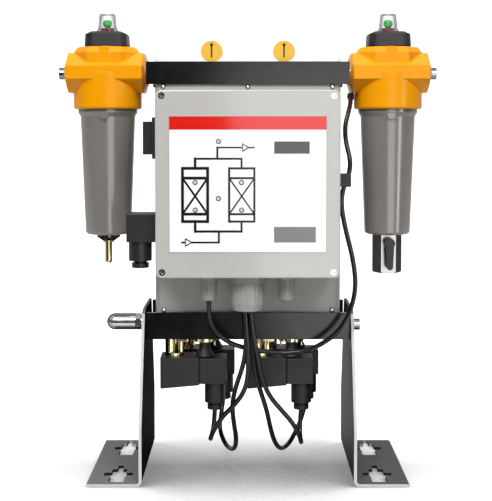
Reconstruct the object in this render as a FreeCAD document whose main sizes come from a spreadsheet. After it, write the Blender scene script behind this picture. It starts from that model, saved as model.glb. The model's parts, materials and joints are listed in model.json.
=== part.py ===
"""Twin-chamber desiccant air dryer on two folded legs, with a filter at each side.

Millimetres, X to the right, Y to the back, Z up. The origin is the middle of the footprint on the floor.
AXIS is the plane, square to Y, that holds the middle of the column, the filters and the blocks.
"""

import FreeCAD, Part
import math
import os

import Sketcher
from FreeCAD import Placement, Rotation, Vector

DRIVING_SIZES = {
    "frame": {
        "leg_gap": 209.0,
        "sheet": 3.0,
        "bend": 3.0,
        "foot_reach": 51.5,
        "foot_depth": 150.0,
        "foot_back": 62.0,
        "leg_height": 168.6,
        "leg_front_low": 57.0,
        "leg_front_set": 40.0,
        "leg_crown": 12.0,
        "leg_back_low": 65.0,
        "leg_back_mid": 140.0,
        "leg_back_mid_set": 24.0,
        "leg_back_top_set": 32.0,
        "slot_inset": 23.5,
        "slot_front": 31.0,
        "slot_pitch": 88.0,
        "slot_width": 15.0,
        "slot_front_reach": 24.0,
        "slot_back_reach": 16.0,
        "slot_tail": 28.0,
        "slot_tail_width": 5.5,
        "slot_arm": 29.0,
        "slot_arm_width": 9.5,
        "slot_corner": 1.5,
        "leg_crown_rise": 3.4,
        "lower_bar_height": 27.4,
        "top_bar_height": 23.0,
        "top_bar_length": 206.0,
        "frame_screw_head": 5.0,
        "frame_screw_dome": 2.2,
        "frame_screw_shank": 3.0,
        "frame_screw_spread": 171.6,
        "frame_screw_rise": 2.6,
    },
    "column": {
        "column_width": 189.0,
        "column_height": 232.4,
        "column_depth": 80.0,
        "column_wall": 5.0,
        "column_web": 9.0,
        "column_corner": 5.0,
        "groove_width": 1.0,
        "groove_depth": 0.8,
        "groove_inset": 4.0,
        "chamber_corner": 12.0,
        "bed_clearance": 0.3,
        "bed_end": 16.0,
        "spring_radius": 24.0,
        "spring_wire": 2.0,
    },
    "blocks": {
        "upper_block_height": 26.4,
        "boss_width": 104.0,
        "boss_inset": 4.0,
        "boss_height": 18.4,
        "check_spread": 73.3,
        "check_rise": 33.4,
        "check_head": 21.6,
        "check_rim": 4.0,
        "check_shank": 16.0,
        "check_depth": 22.0,
        "check_end_gap": 2.0,
        "check_seat_gap": 0.2,
        "check_slot_width": 1.6,
        "check_slot_height": 13.0,
        "check_slot_depth": 1.4,
        "block_edge": 1.0,
        "silencer_rise": 10.9,
        "stub_rise": 7.8,
        "lower_port": 12.0,
    },
    "ports": {
        "port_rise": 12.9,
        "port_proud": 8.7,
        "nipple_bore": 8.4,
        "nipple_outside": 12.4,
        "nipple_thread": 11.0,
        "transfer_outside": 18.0,
        "transfer_bore": 10.0,
        "transfer_depth": 8.0,
        "silencer_diameter": 17.2,
        "silencer_proud": 41.6,
        "silencer_length": 30.4,
        "silencer_neck": 12.0,
        "silencer_hex": 15.2,
        "silencer_hex_width": 5.8,
        "stub_proud": 11.0,
        "stub_diameter": 11.8,
        "leg_hole_gap": 1.0,
    },
    "enclosure": {
        "lid_reach": 103.0,
        "enclosure_width": 178.0,
        "enclosure_top_gap": 7.9,
        "enclosure_rise": 43.5,
        "enclosure_corner": 6.0,
        "enclosure_wall": 3.0,
        "lid_depth": 20.0,
        "lid_edge": 1.6,
        "seam_width": 1.2,
        "seam_depth": 0.9,
        "lid_screw_side": 6.3,
        "lid_screw_end": 5.6,
        "lid_screw_head": 6.6,
        "lid_screw_sink": 1.2,
        "lid_screw_cross": 3.6,
        "lid_screw_slot": 1.0,
        "lid_screw_length": 24.0,
        "lid_screw_head_height": 2.0,
        "lid_screw_shank": 3.2,
        "pillar": 9.6,
        "foil_width": 151.5,
        "foil_height": 131.2,
        "foil_thickness": 0.5,
        "foil_corner": 1.2,
        "display_left": 25.3,
        "display_width": 33.9,
        "display_drop": 49.3,
        "display_height": 11.7,
        "display_depth": 0.25,
        "board_width": 150.0,
        "board_height": 140.0,
        "board_thickness": 1.6,
        "standoff_height": 10.0,
        "standoff": 8.0,
        "chip_height": 9.0,
    },
    "glands": {
        "gland_front": 16.0,
        "small_gland_spread": 77.2,
        "small_gland_nut": 17.2,
        "small_gland_hex": 19.0,
        "small_gland_flange": 5.0,
        "small_gland_length": 25.8,
        "large_gland_nut": 34.4,
        "large_gland_hex": 36.0,
        "large_gland_flange": 7.0,
        "large_gland_length": 36.0,
        "gland_seal": 1.0,
        "gland_ridge": 1.4,
        "gland_ridge_width": 2.2,
        "gland_nut_share": 0.6,
        "gland_taper": 0.88,
        "gland_seal_share": 0.7,
    },
    "side_fittings": {
        "plug_rise": 33.1,
        "plug_height": 28.0,
        "plug_reach": 29.8,
        "plug_depth": 28.0,
        "plug_barrel": 22.8,
        "plug_barrel_length": 19.1,
        "plug_collar": 16.9,
        "plug_collar_length": 7.1,
        "plug_neck": 13.0,
        "socket_rise": 114.6,
        "socket_flange_height": 40.5,
        "socket_flange": 4.2,
        "socket_depth": 30.0,
        "socket_body_height": 32.3,
        "socket_reach": 13.4,
        "socket_rib": 1.0,
        "clip_up": 93.3,
        "clip_floor": 2.7,
        "clip_width": 12.5,
        "clip_gap": 6.8,
        "clip_depth": 12.0,
        "clip_rise": 13.0,
    },
    "filters": {
        "filter_spread": 294.0,
        "head_length": 83.6,
        "head_height": 41.0,
        "head_depth": 68.0,
        "head_flat": 13.8,
        "head_foot_flat": 30.0,
        "head_end_length": 2.7,
        "head_end_set": 8.0,
        "skirt_diameter": 71.0,
        "skirt_drop": 37.4,
        "skirt_edge": 1.5,
        "tier_width": 67.4,
        "tier_corner": 16.0,
        "tier_top_width": 59.2,
        "tier_bottom_rise": 14.5,
        "tier_step_rise": 20.9,
        "tier_top_rise": 26.6,
        "collar_diameter": 44.0,
        "head_top_rise": 27.7,
        "rib_width": 8.6,
        "rib_depth": 5.0,
        "rib_drop": 13.0,
        "port_thread": 6.2,
        "port_depth": 14.0,
        "port_way": 7.6,
        "bowl_neck": 62.0,
        "bowl_neck_length": 3.5,
        "bowl_insert": 12.0,
        "bowl_fit": 0.3,
        "bowl_top": 57.0,
        "bowl_shoulder": 4.2,
        "bowl_base": 47.8,
        "bowl_length": 130.9,
        "bowl_edge": 3.2,
        "bowl_wall": 3.0,
        "bowl_boss": 8.6,
        "bowl_boss_drop": 6.8,
        "bowl_boss_proud": 2.0,
        "drain_hole": 10.0,
        "element_diameter": 40.0,
        "element_wall": 7.0,
        "element_length": 92.0,
        "element_cap": 5.0,
        "element_spigot": 16.0,
        "element_post": 8.0,
        "element_rim": 1.0,
        "element_tube": 2.0,
    },
    "indicators": {
        "cap_width": 44.8,
        "cap_top_width": 43.2,
        "cap_height": 12.6,
        "cap_crown": 2.7,
        "cap_crown_width": 32.0,
        "cap_corner": 11.0,
        "dome_base": 23.6,
        "dome_body": 19.6,
        "dome_top": 17.4,
        "dome_step": 4.4,
        "dome_height": 19.0,
        "dome_wall": 1.2,
        "dome_edge": 2.0,
        "piston_base": 14.0,
        "piston_head": 9.4,
        "piston_height": 14.4,
        "piston_stem": 5.0,
        "piston_stem_length": 8.0,
        "piston_fit": 0.1,
        "piston_foot": 5.2,
        "piston_waist": 6.0,
        "piston_seat": 1.6,
    },
    "drains": {
        "barb_collar": 24.0,
        "barb_collar_height": 3.4,
        "barb_cone_height": 3.6,
        "barb_flange": 11.6,
        "barb_flange_height": 1.6,
        "barb_tube": 7.3,
        "barb_bore": 4.0,
        "barb_length": 30.8,
        "float_diameter": 26.0,
        "float_height": 30.0,
        "float_guide": 6.0,
        "float_fit": 0.4,
        "float_rest": 4.0,
        "valve_hex": 26.8,
        "drain_valve_length": 40.6,
        "valve_bore": 8.0,
        "valve_edge": 1.2,
        "lever_drop": 8.0,
        "lever_stem": 6.0,
        "lever_fit": 0.05,
        "lever_sunk": 8.0,
        "lever_washer": 9.6,
        "lever_washer_width": 6.0,
        "lever_hub": 10.4,
        "lever_hub_width": 7.0,
        "lever_width": 8.6,
        "lever_tip_width": 6.4,
        "lever_length": 28.4,
        "lever_thickness": 4.6,
    },
    "valves": {
        "valve_spread": 89.6,
        "valve_pitch": 44.0,
        "valve_row_front": 26.0,
        "valve_rear_shift": 8.0,
        "disc_diameter": 26.0,
        "disc_thickness": 3.8,
        "disc_bolt": 1.8,
        "disc_bolt_drop": 4.4,
        "disc_bolt_set": 10.6,
        "tube_set": 35.4,
        "tube_diameter": 10.6,
        "tube_flange": 19.0,
        "tube_flange_set": 31.2,
        "tube_flange_height": 3.4,
        "shoe_left": 28.4,
        "shoe_length": 10.6,
        "shoe_width": 15.0,
        "shoe_height": 4.2,
        "shoe_neck": 6.4,
        "shoe_neck_set": 24.6,
        "stem_diameter": 11.0,
        "stem_foot": 9.8,
        "stem_dome": 20.0,
        "stem_dome_height": 8.0,
        "coil_left": 45.0,
        "coil_length": 40.0,
        "coil_depth": 30.0,
        "coil_drop": 19.6,
        "coil_height": 31.9,
        "coil_slope": 3.6,
        "coil_edge": 1.5,
        "connector_length": 27.6,
        "connector_depth": 28.0,
        "connector_drop": 27.2,
        "connector_height": 26.2,
        "connector_edge": 1.2,
        "barrel_set": 10.6,
        "barrel_diameter": 21.0,
        "barrel_length": 21.2,
        "neck_diameter": 12.5,
        "collar_width": 15.7,
        "collar_length": 7.3,
    },
    "cords": {
        "cord_diameter": 4.8,
        "sensor_gland_diameter": 7.2,
        "sensor_gland_length": 9.0,
        "sensor_gland_drop": 25.8,
    },
}


class Size:
    """A length together with the sheet expression that gives it, so that arithmetic keeps both."""

    def __init__(self, value, text):
        self.value = float(value)
        self.text = text

    @staticmethod
    def of(other):
        return other if isinstance(other, Size) else Size(other, repr(float(other)))

    def _join(self, other, sign, value):
        return Size(value, "(%s %s %s)" % (self.text, sign, Size.of(other).text))

    def __add__(self, other):
        return self._join(other, "+", self.value + Size.of(other).value)

    def __sub__(self, other):
        return self._join(other, "-", self.value - Size.of(other).value)

    def __mul__(self, other):
        return self._join(other, "*", self.value * Size.of(other).value)

    def __truediv__(self, other):
        return self._join(other, "/", self.value / Size.of(other).value)

    def __radd__(self, other):
        return Size.of(other) + self

    def __rsub__(self, other):
        return Size.of(other) - self

    def __rmul__(self, other):
        return Size.of(other) * self

    def __neg__(self):
        return Size.of(0) - self


class Sheet:
    """The spreadsheet of driving sizes, with one attribute for each alias."""

    def __init__(self, document, table):
        self.cells = document.addObject("Spreadsheet::Sheet", "Sizes")
        row = 1
        for group, sizes in table.items():
            self.cells.set("A%d" % row, group)
            row += 1
            for alias, value in sizes.items():
                self.cells.set("A%d" % row, alias)
                self.cells.set("B%d" % row, str(value))
                self.cells.setAlias("B%d" % row, alias)
                setattr(self, alias, Size(value, "Sizes." + alias))
                row += 1


doc = FreeCAD.newDocument("desiccant_air_dryer")
S = Sheet(doc, DRIVING_SIZES)
doc.recompute()
finished = []


def bind(thing, path, size):
    """Ties one property of an object to the sheet."""
    thing.setExpression(path, Size.of(size).text)


def place(thing, x=0, y=0, z=0, turn=None):
    """Puts an object at a bound position, after a fixed turn about an axis through its origin."""
    if turn is not None:
        axis, angle = turn
        thing.Placement = Placement(Vector(0, 0, 0), Rotation(Vector(*axis), angle))
    for letter, size in (("x", x), ("y", y), ("z", z)):
        bind(thing, "Placement.Base." + letter, size)
    return thing


def keep(thing, label):
    """Marks an object as a finished sub-part: its label names its file."""
    thing.Label = label
    finished.append(thing)
    return thing


TURNS = {
    "z": None,
    "-z": ((1, 0, 0), 180),
    "x": ((0, 1, 0), 90),
    "-x": ((0, 1, 0), -90),
    "y": ((1, 0, 0), -90),
    "-y": ((1, 0, 0), 90),
}


def rod(name, x, y, z, diameter, length, way="z"):
    """A cylinder that starts at a point and runs along one axis."""
    thing = doc.addObject("Part::Cylinder", name)
    bind(thing, "Radius", Size.of(diameter) / 2)
    bind(thing, "Height", length)
    return place(thing, x, y, z, TURNS[way])


def cone(name, x, y, z, diameter, end_diameter, length, way="z"):
    """A cone frustum that starts at a point with one diameter and ends with another."""
    thing = doc.addObject("Part::Cone", name)
    bind(thing, "Radius1", Size.of(diameter) / 2)
    bind(thing, "Radius2", Size.of(end_diameter) / 2)
    bind(thing, "Height", length)
    return place(thing, x, y, z, TURNS[way])


def brick(name, x, y, z, length, depth, height):
    """A box from its lowest corner."""
    thing = doc.addObject("Part::Box", name)
    bind(thing, "Length", length)
    bind(thing, "Width", depth)
    bind(thing, "Height", height)
    return place(thing, x, y, z)


def hexagon(name, x, y, z, across_flats, length, way="z", spin=0):
    """A hexagonal bar that starts at a point; spin turns its corners about its own axis."""
    thing = doc.addObject("Part::Prism", name)
    thing.Polygon = 6
    bind(thing, "Circumradius", Size.of(across_flats) / math.sqrt(3))
    bind(thing, "Height", length)
    turn = Rotation(Vector(0, 0, 1), spin)
    if TURNS[way] is not None:
        axis, angle = TURNS[way]
        turn = Rotation(Vector(*axis), angle) * turn
    thing.Placement = Placement(Vector(0, 0, 0), turn)
    for letter, size in (("x", x), ("y", y), ("z", z)):
        bind(thing, "Placement.Base." + letter, size)
    return thing


def joined(name, *things):
    """The union of several objects."""
    thing = doc.addObject("Part::MultiFuse", name)
    thing.Shapes = list(things)
    thing.Refine = True
    return thing


def grouped(name, *things):
    """Separate solids that share one node."""
    thing = doc.addObject("Part::Compound", name)
    thing.Links = list(things)
    return thing


def without(name, base, *tools):
    """A base object with every tool cut away."""
    tool = tools[0] if len(tools) == 1 else joined(name + "_tools", *tools)
    thing = doc.addObject("Part::Cut", name)
    thing.Base = base
    thing.Tool = tool
    thing.Refine = True
    return thing


def rounded(name, base, radius, picks, kind="Part::Fillet"):
    """A base object with the edges that picks() accepts rounded or chamfered."""
    doc.recompute()
    numbers = [i + 1 for i, edge in enumerate(base.Shape.Edges) if picks(edge)]
    if not numbers:
        raise RuntimeError("no edge to round on " + base.Label)
    thing = doc.addObject(kind, name)
    thing.Base = base
    thing.Edges = [(number, radius.value, radius.value) for number in numbers]
    return thing


def body(name):
    """An empty body for features."""
    return doc.addObject("PartDesign::Body", name)


def plane_of(owner, role):
    """One of a body's own origin planes or axes."""
    return next(f for f in owner.Origin.OriginFeatures if f.Role == role)


def arc_between(start, end, radius, turn):
    """The short arc from start to end; turn is 1 where it bends left and -1 where it bends right."""
    chord = end - start
    middle = (start + end) / 2
    rise = math.sqrt(max(radius * radius - chord.Length * chord.Length / 4, 0.0))
    left = Vector(-chord.y, chord.x, 0).normalize()
    centre = middle + left * (rise * turn)
    first, last = (start, end) if turn > 0 else (end, start)
    low = math.atan2(first.y - centre.y, first.x - centre.x)
    high = math.atan2(last.y - centre.y, last.x - centre.x)
    if high < low:
        high += 2 * math.pi
    return Part.ArcOfCircle(Part.Circle(centre, Vector(0, 0, 1), radius), low, high)


def outline(owner, name, role, corners, lift=0):
    """A closed sketch. A corner is (x, y), or (x, y, radius, turn) where an arc leads to the next corner."""
    sketch = owner.newObject("Sketcher::SketchObject", name)
    sketch.AttachmentSupport = [(plane_of(owner, role), "")]
    sketch.MapMode = "FlatFace"
    bind(sketch, "AttachmentOffset.Base.z", lift)
    corners = [tuple(Size.of(part) for part in corner[:3]) + corner[3:] for corner in corners]
    points = [Vector(corner[0].value, corner[1].value, 0) for corner in corners]
    count = len(corners)
    ends = []
    for i, corner in enumerate(corners):
        start, end = points[i], points[(i + 1) % count]
        if len(corner) == 4:
            sketch.addGeometry(arc_between(start, end, corner[2].value, corner[3]))
            ends.append((1, 2) if corner[3] > 0 else (2, 1))
        else:
            sketch.addGeometry(Part.LineSegment(start, end))
            ends.append((1, 2))
    for i in range(count):
        sketch.addConstraint(Sketcher.Constraint("Coincident", (i - 1) % count, ends[i - 1][1], i, ends[i][0]))
    for i, corner in enumerate(corners):
        for kind, axis, size in (("DistanceX", -2, corner[0]), ("DistanceY", -1, corner[1])):
            if size.text == "0.0":
                sketch.addConstraint(Sketcher.Constraint("PointOnObject", i, ends[i][0], axis))
                continue
            number = sketch.addConstraint(Sketcher.Constraint(kind, -1, 1, i, ends[i][0], size.value))
            sketch.setExpression("Constraints[%d]" % number, size.text)
        if len(corner) == 4:
            number = sketch.addConstraint(Sketcher.Constraint("Radius", i, corner[2].value))
            sketch.setExpression("Constraints[%d]" % number, corner[2].text)
    return sketch


def rounds(owner, name, role, circles, lift=0):
    """A sketch of circles, each (x, y, diameter)."""
    sketch = owner.newObject("Sketcher::SketchObject", name)
    sketch.AttachmentSupport = [(plane_of(owner, role), "")]
    sketch.MapMode = "FlatFace"
    bind(sketch, "AttachmentOffset.Base.z", lift)
    for i, circle in enumerate(circles):
        x, y, diameter = (Size.of(part) for part in circle)
        centre = Vector(x.value, y.value, 0)
        sketch.addGeometry(Part.Circle(centre, Vector(0, 0, 1), diameter.value / 2))
        for kind, axis, size in (("DistanceX", -2, x), ("DistanceY", -1, y)):
            if size.text == "0.0":
                sketch.addConstraint(Sketcher.Constraint("PointOnObject", i, 3, axis))
                continue
            number = sketch.addConstraint(Sketcher.Constraint(kind, -1, 1, i, 3, size.value))
            sketch.setExpression("Constraints[%d]" % number, size.text)
        number = sketch.addConstraint(Sketcher.Constraint("Diameter", i, diameter.value))
        sketch.setExpression("Constraints[%d]" % number, diameter.text)
    return sketch


def box_outline(low_x, low_y, high_x, high_y):
    """The four corners of a rectangle."""
    return [(low_x, low_y), (high_x, low_y), (high_x, high_y), (low_x, high_y)]


def soft_box(width, height, corner, middle_x=0, middle_y=0):
    """A rectangle about a middle point, with rounded corners."""
    right, top = middle_x + width / 2, middle_y + height / 2
    left, bottom = middle_x - width / 2, middle_y - height / 2
    return [
        (left + corner, bottom),
        (right - corner, bottom, corner, 1),
        (right, bottom + corner),
        (right, top - corner, corner, 1),
        (right - corner, top),
        (left + corner, top, corner, 1),
        (left, top - corner),
        (left, bottom + corner, corner, 1),
    ]


def pad(owner, sketch, length, both_ways=False, back=False, taper=0):
    """Thickens a sketch."""
    feature = owner.newObject("PartDesign::Pad", sketch.Name + "_pad")
    feature.Profile = sketch
    bind(feature, "Length", length)
    if both_ways:
        feature.SideType = "Symmetric"
    feature.Reversed = back
    if taper:
        feature.TaperAngle = taper
    return feature


def pocket(owner, sketch, length=None, both_ways=False, back=False):
    """Cuts a sketch out, to a depth or right through both ways."""
    feature = owner.newObject("PartDesign::Pocket", sketch.Name + "_pocket")
    feature.Profile = sketch
    if length is None:
        feature.SideType = "Symmetric"
        feature.Type = "ThroughAll"
    else:
        bind(feature, "Length", length)
        if both_ways:
            feature.SideType = "Symmetric"
    feature.Reversed = back
    return feature


def turned(owner, name, corners, cut=False):
    """Revolves a half section, given as radius and height, about the body's own Z axis."""
    sketch = outline(owner, name, "XZ_Plane", corners)
    kind = "PartDesign::Groove" if cut else "PartDesign::Revolution"
    feature = owner.newObject(kind, name + "_turn")
    feature.Profile = sketch
    feature.ReferenceAxis = (sketch, ["V_Axis"])
    feature.Angle = 360
    return feature


def eased(owner, radius, picks, chamfer=False):
    """Rounds or chamfers the edges of a body's tip that picks() accepts."""
    doc.recompute()
    base = owner.Tip
    names = ["Edge%d" % (i + 1) for i, edge in enumerate(base.Shape.Edges) if picks(edge)]
    if not names:
        raise RuntimeError("no edge to ease on " + owner.Label)
    kind = "PartDesign::Chamfer" if chamfer else "PartDesign::Fillet"
    feature = owner.newObject(kind, base.Name + "_eased")
    feature.Base = (base, names)
    bind(feature, "Size" if chamfer else "Radius", radius)
    return feature


def along(edge, axis):
    """Whether an edge is straight and runs along an axis."""
    first, last = edge.Vertexes[0].Point, edge.Vertexes[-1].Point
    run = last - first
    if run.Length < 1e-6 or abs(run.Length - edge.Length) > 1e-6:
        return False
    return abs(abs(run.normalize().dot(Vector(*axis))) - 1) < 1e-6


def at(edge, axis, value, slack=1e-4):
    """Whether all of an edge lies at one height along an axis."""
    low, high = edge.BoundBox, edge.BoundBox
    least = {"x": low.XMin, "y": low.YMin, "z": low.ZMin}[axis]
    most = {"x": high.XMax, "y": high.YMax, "z": high.ZMax}[axis]
    target = Size.of(value).value
    return abs(least - target) < slack and abs(most - target) < slack


# Derived planes and faces
AXIS = (S.lid_reach - S.foot_back) / 2
COLUMN_FRONT = AXIS - S.column_depth / 2
COLUMN_BACK = AXIS + S.column_depth / 2
COLUMN_SIDE = S.column_width / 2
LEG_INNER = S.leg_gap / 2
LEG_OUTER = LEG_INNER + S.sheet
LOWER_BAR_TOP = S.leg_height - S.leg_crown_rise
LOWER_BAR_BOTTOM = LOWER_BAR_TOP - S.lower_bar_height
TOP_BAR_BOTTOM = LOWER_BAR_TOP + S.column_height
PORT_HEIGHT = TOP_BAR_BOTTOM + S.port_rise
CHECK_HEIGHT = TOP_BAR_BOTTOM + S.check_rise
SKIRT_BOTTOM = PORT_HEIGHT - S.skirt_drop
TIER_BOTTOM = PORT_HEIGHT + S.tier_bottom_rise
TIER_STEP = PORT_HEIGHT + S.tier_step_rise
TIER_TOP = PORT_HEIGHT + S.tier_top_rise
HEAD_TOP = PORT_HEIGHT + S.head_top_rise
BOWL_BOTTOM = SKIRT_BOTTOM - S.bowl_length
BARB_BOTTOM = BOWL_BOTTOM - S.barb_length
VALVE_BOTTOM = BOWL_BOTTOM - S.drain_valve_length
LEVER_HEIGHT = BOWL_BOTTOM - S.lever_drop
SILENCER_HEIGHT = LOWER_BAR_BOTTOM + S.silencer_rise
STUB_HEIGHT = LOWER_BAR_BOTTOM + S.stub_rise
SILENCER_REACH = LEG_OUTER + S.silencer_proud
STUB_REACH = LEG_OUTER + S.stub_proud
ENCLOSURE_BOTTOM = LOWER_BAR_TOP + S.enclosure_rise
ENCLOSURE_HEIGHT = S.column_height - S.enclosure_rise - S.enclosure_top_gap
BOSS_DEPTH = S.column_depth - 2 * S.boss_inset
DISPLAY_TOP = ENCLOSURE_BOTTOM + ENCLOSURE_HEIGHT - S.display_drop
PLUG_BOTTOM = ENCLOSURE_BOTTOM + S.plug_rise
SOCKET_BOTTOM = ENCLOSURE_BOTTOM + S.socket_rise
CLIP_HEIGHT = ENCLOSURE_BOTTOM + S.clip_up
COIL_TOP = LOWER_BAR_BOTTOM - S.coil_drop
COIL_BOTTOM = COIL_TOP - S.coil_height
CONNECTOR_BOTTOM = COIL_TOP - S.connector_drop
BARREL_BOTTOM = CONNECTOR_BOTTOM - S.barrel_length
COLLAR_BOTTOM = BARREL_BOTTOM - S.collar_length
LID_FRONT = AXIS - S.lid_reach + S.foil_thickness
LID_BACK = LID_FRONT + S.lid_depth
ENCLOSURE_SIDE = S.enclosure_width / 2
ENCLOSURE_MIDDLE = ENCLOSURE_BOTTOM + ENCLOSURE_HEIGHT / 2
FILTER_X = S.filter_spread / 2
GLAND_PLANE = COLUMN_FRONT - 2 * S.gland_front
HEAD_REACH = S.head_length / 2


def cross_slot(x, y):
    """Outline of one fixing slot: a wide slot with two arms and a narrow tail."""
    half, arm = S.slot_width / 2, S.slot_arm / 2
    thin, tail = S.slot_arm_width / 2, S.slot_tail_width / 2
    right = [
        (half, -S.slot_front_reach),
        (half, -thin),
        (arm, -thin),
        (arm, thin),
        (half, thin),
        (half, S.slot_back_reach),
        (tail, S.slot_back_reach),
        (tail, S.slot_tail),
    ]
    left = [(-px, py) for px, py in reversed(right)]
    return [(x + px, y + py) for px, py in right + left]


def leg(side, label):
    """A folded leg: an upright plate with sloping edges and a foot turned outwards."""
    owner = body(label + "_body")
    place(owner, 0, AXIS, 0)
    bend, outer_bend = S.bend, S.bend + S.sheet
    section = [
        (side * (LEG_INNER + outer_bend), 0),
        (side * (LEG_OUTER + S.foot_reach), 0),
        (side * (LEG_OUTER + S.foot_reach), S.sheet),
        (side * (LEG_OUTER + bend), S.sheet, bend, -side),
        (side * LEG_OUTER, S.sheet + bend),
        (side * LEG_OUTER, S.leg_height),
        (side * LEG_INNER, S.leg_height),
        (side * LEG_INNER, outer_bend, outer_bend, side),
    ]
    sketch = outline(owner, label + "_fold", "XZ_Plane", section, lift=-(S.foot_back - S.foot_depth))
    pad(owner, sketch, S.foot_depth, back=True)
    front, back = S.foot_back - S.foot_depth, S.foot_back
    over = S.leg_height + S.sheet
    front_cut = [
        (front, S.leg_front_low),
        (front + S.leg_front_set, LOWER_BAR_TOP),
        (front + S.leg_front_set + S.leg_crown, S.leg_height),
        (front + S.leg_front_set + S.leg_crown, over),
        (front - S.sheet, over),
        (front - S.sheet, S.leg_front_low),
    ]
    back_cut = [
        (back, S.leg_back_low),
        (back + S.sheet, S.leg_back_low),
        (back + S.sheet, over),
        (back - S.leg_back_top_set, over),
        (back - S.leg_back_top_set, S.leg_height),
        (back - S.leg_back_mid_set, S.leg_back_mid),
    ]
    for name, corners in (("_front", front_cut), ("_back", back_cut)):
        pocket(owner, outline(owner, label + name, "YZ_Plane", corners))
    slot_x = side * (LEG_OUTER + S.slot_inset)
    for number in range(2):
        y = front + S.slot_front + S.slot_pitch * number
        slot = outline(owner, "%s_slot_%d" % (label, number), "XY_Plane", cross_slot(slot_x, y))
        pocket(owner, slot)
    inside = LEG_OUTER.value + S.bend.value + 1
    eased(
        owner,
        S.slot_corner,
        lambda e: along(e, (0, 0, 1)) and abs(e.CenterOfMass.x) > inside and not foot_corner(e),
    )
    hole_height = SILENCER_HEIGHT if side < 0 else STUB_HEIGHT
    hole_size = (S.silencer_neck if side < 0 else S.stub_diameter) + 2 * S.leg_hole_gap
    pocket(owner, rounds(owner, label + "_hole", "YZ_Plane", [(0, hole_height, hole_size)]))
    return keep(owner, label)


def foot_corner(edge):
    """Whether an upright edge is one of the foot's outer corners."""
    tip = (LEG_OUTER + S.foot_reach).value
    return abs(abs(edge.CenterOfMass.x) - tip) < 0.1


def bars():
    """Four flat bars: two between the legs and two across the top."""
    lower = brick("lower_bar_plate", -LEG_INNER, COLUMN_FRONT - S.sheet, LOWER_BAR_BOTTOM,
                  2 * LEG_INNER, S.sheet, S.lower_bar_height)
    keep(lower, "lower_front_bar")
    rear = brick("lower_rear_plate", -LEG_INNER, COLUMN_BACK, LOWER_BAR_BOTTOM,
                 2 * LEG_INNER, S.sheet, S.lower_bar_height)
    keep(rear, "lower_rear_bar")
    for label, y in (("top_front_bar", COLUMN_FRONT - S.sheet), ("top_rear_bar", COLUMN_BACK)):
        bar = brick(label + "_plate", -S.top_bar_length / 2, y, TOP_BAR_BOTTOM,
                    S.top_bar_length, S.sheet, S.top_bar_height)
        keep(bar, label)


def frame_screws():
    """Small dome-head screws in the column's front face, close above and below the bars."""
    spread = S.frame_screw_spread / 2
    seats = [(side * spread, LOWER_BAR_TOP + S.frame_screw_rise) for side in (-1, 1)]
    seats += [(x, TOP_BAR_BOTTOM - S.frame_screw_rise) for x in (-spread, Size.of(0), spread)]
    screws = []
    for number, (x, z) in enumerate(seats):
        name = "frame_screw_%d" % number
        dome = doc.addObject("Part::Ellipsoid", name + "_dome")
        bind(dome, "Radius1", S.frame_screw_dome)
        bind(dome, "Radius2", S.frame_screw_head / 2)
        bind(dome, "Radius3", S.frame_screw_head / 2)
        dome.Angle1 = 0
        place(dome, x, COLUMN_FRONT, z, TURNS["-y"])
        shank = rod(name + "_shank", x, COLUMN_FRONT, z, S.frame_screw_shank, S.column_wall, "y")
        screws.append(joined(name, dome, shank))
    keep(grouped("frame_screw_group", *screws), "frame_screws")


def column():
    """The extruded column with two chambers, a fine groove down each corner, the beds and their rings."""
    owner = body("column_body")
    place(owner, 0, AXIS, LOWER_BAR_TOP)
    height = S.column_height
    pad(owner, outline(owner, "column_skin", "XY_Plane",
                       soft_box(S.column_width, S.column_depth, S.column_corner)), height)
    chamber_width = (S.column_width - 2 * S.column_wall - S.column_web) / 2
    chamber_depth = S.column_depth - 2 * S.column_wall
    middle = (chamber_width + S.column_web) / 2
    for side in (-1, 1):
        shape = soft_box(chamber_width, chamber_depth, S.chamber_corner, side * middle)
        pocket(owner, outline(owner, "chamber_%d" % (side + 1), "XY_Plane", shape))
        for face in (-1, 1):
            x = side * (S.column_width / 2 - S.groove_inset)
            y = face * S.column_depth / 2
            groove = box_outline(x - S.groove_width / 2, y - S.groove_depth,
                                 x + S.groove_width / 2, y + S.groove_depth)
            pocket(owner, outline(owner, "groove_%d_%d" % (side + 1, face + 1), "XY_Plane", groove))
    screw_x = S.frame_screw_spread / 2
    low, high = S.frame_screw_rise, height - S.frame_screw_rise
    holes = [(-screw_x, low), (screw_x, low), (-screw_x, high), (0, high), (screw_x, high)]
    sketch = rounds(owner, "column_screw_holes", "XZ_Plane",
                    [(x, z, S.frame_screw_shank) for x, z in holes], lift=S.column_depth / 2)
    pocket(owner, sketch, S.column_wall)
    keep(owner, "column_profile")
    for side, label in ((-1, "left_cartridge"), (1, "right_cartridge")):
        bed = body(label + "_body")
        place(bed, side * middle, AXIS, LOWER_BAR_TOP + S.bed_end)
        shape = soft_box(chamber_width - 2 * S.bed_clearance, chamber_depth - 2 * S.bed_clearance,
                         S.chamber_corner - S.bed_clearance)
        pad(bed, outline(bed, label + "_bed", "XY_Plane", shape), height - 2 * S.bed_end)
        keep(bed, label)
    springs = []
    for side in (-1, 1):
        for end in (0, 1):
            name = "bed_spring_%d_%d" % (side + 1, end)
            z = LOWER_BAR_TOP + end * (height - S.bed_end)
            outer = cone(name + "_outer", side * middle, AXIS, z,
                         2 * S.spring_radius - end * S.bed_end, 2 * S.spring_radius - (1 - end) * S.bed_end,
                         S.bed_end)
            inner = cone(name + "_inner", side * middle, AXIS, z,
                         2 * (S.spring_radius - S.spring_wire) - end * S.bed_end,
                         2 * (S.spring_radius - S.spring_wire) - (1 - end) * S.bed_end, S.bed_end)
            springs.append(without(name, outer, inner))
    keep(grouped("bed_spring_group", *springs), "bed_springs")


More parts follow.
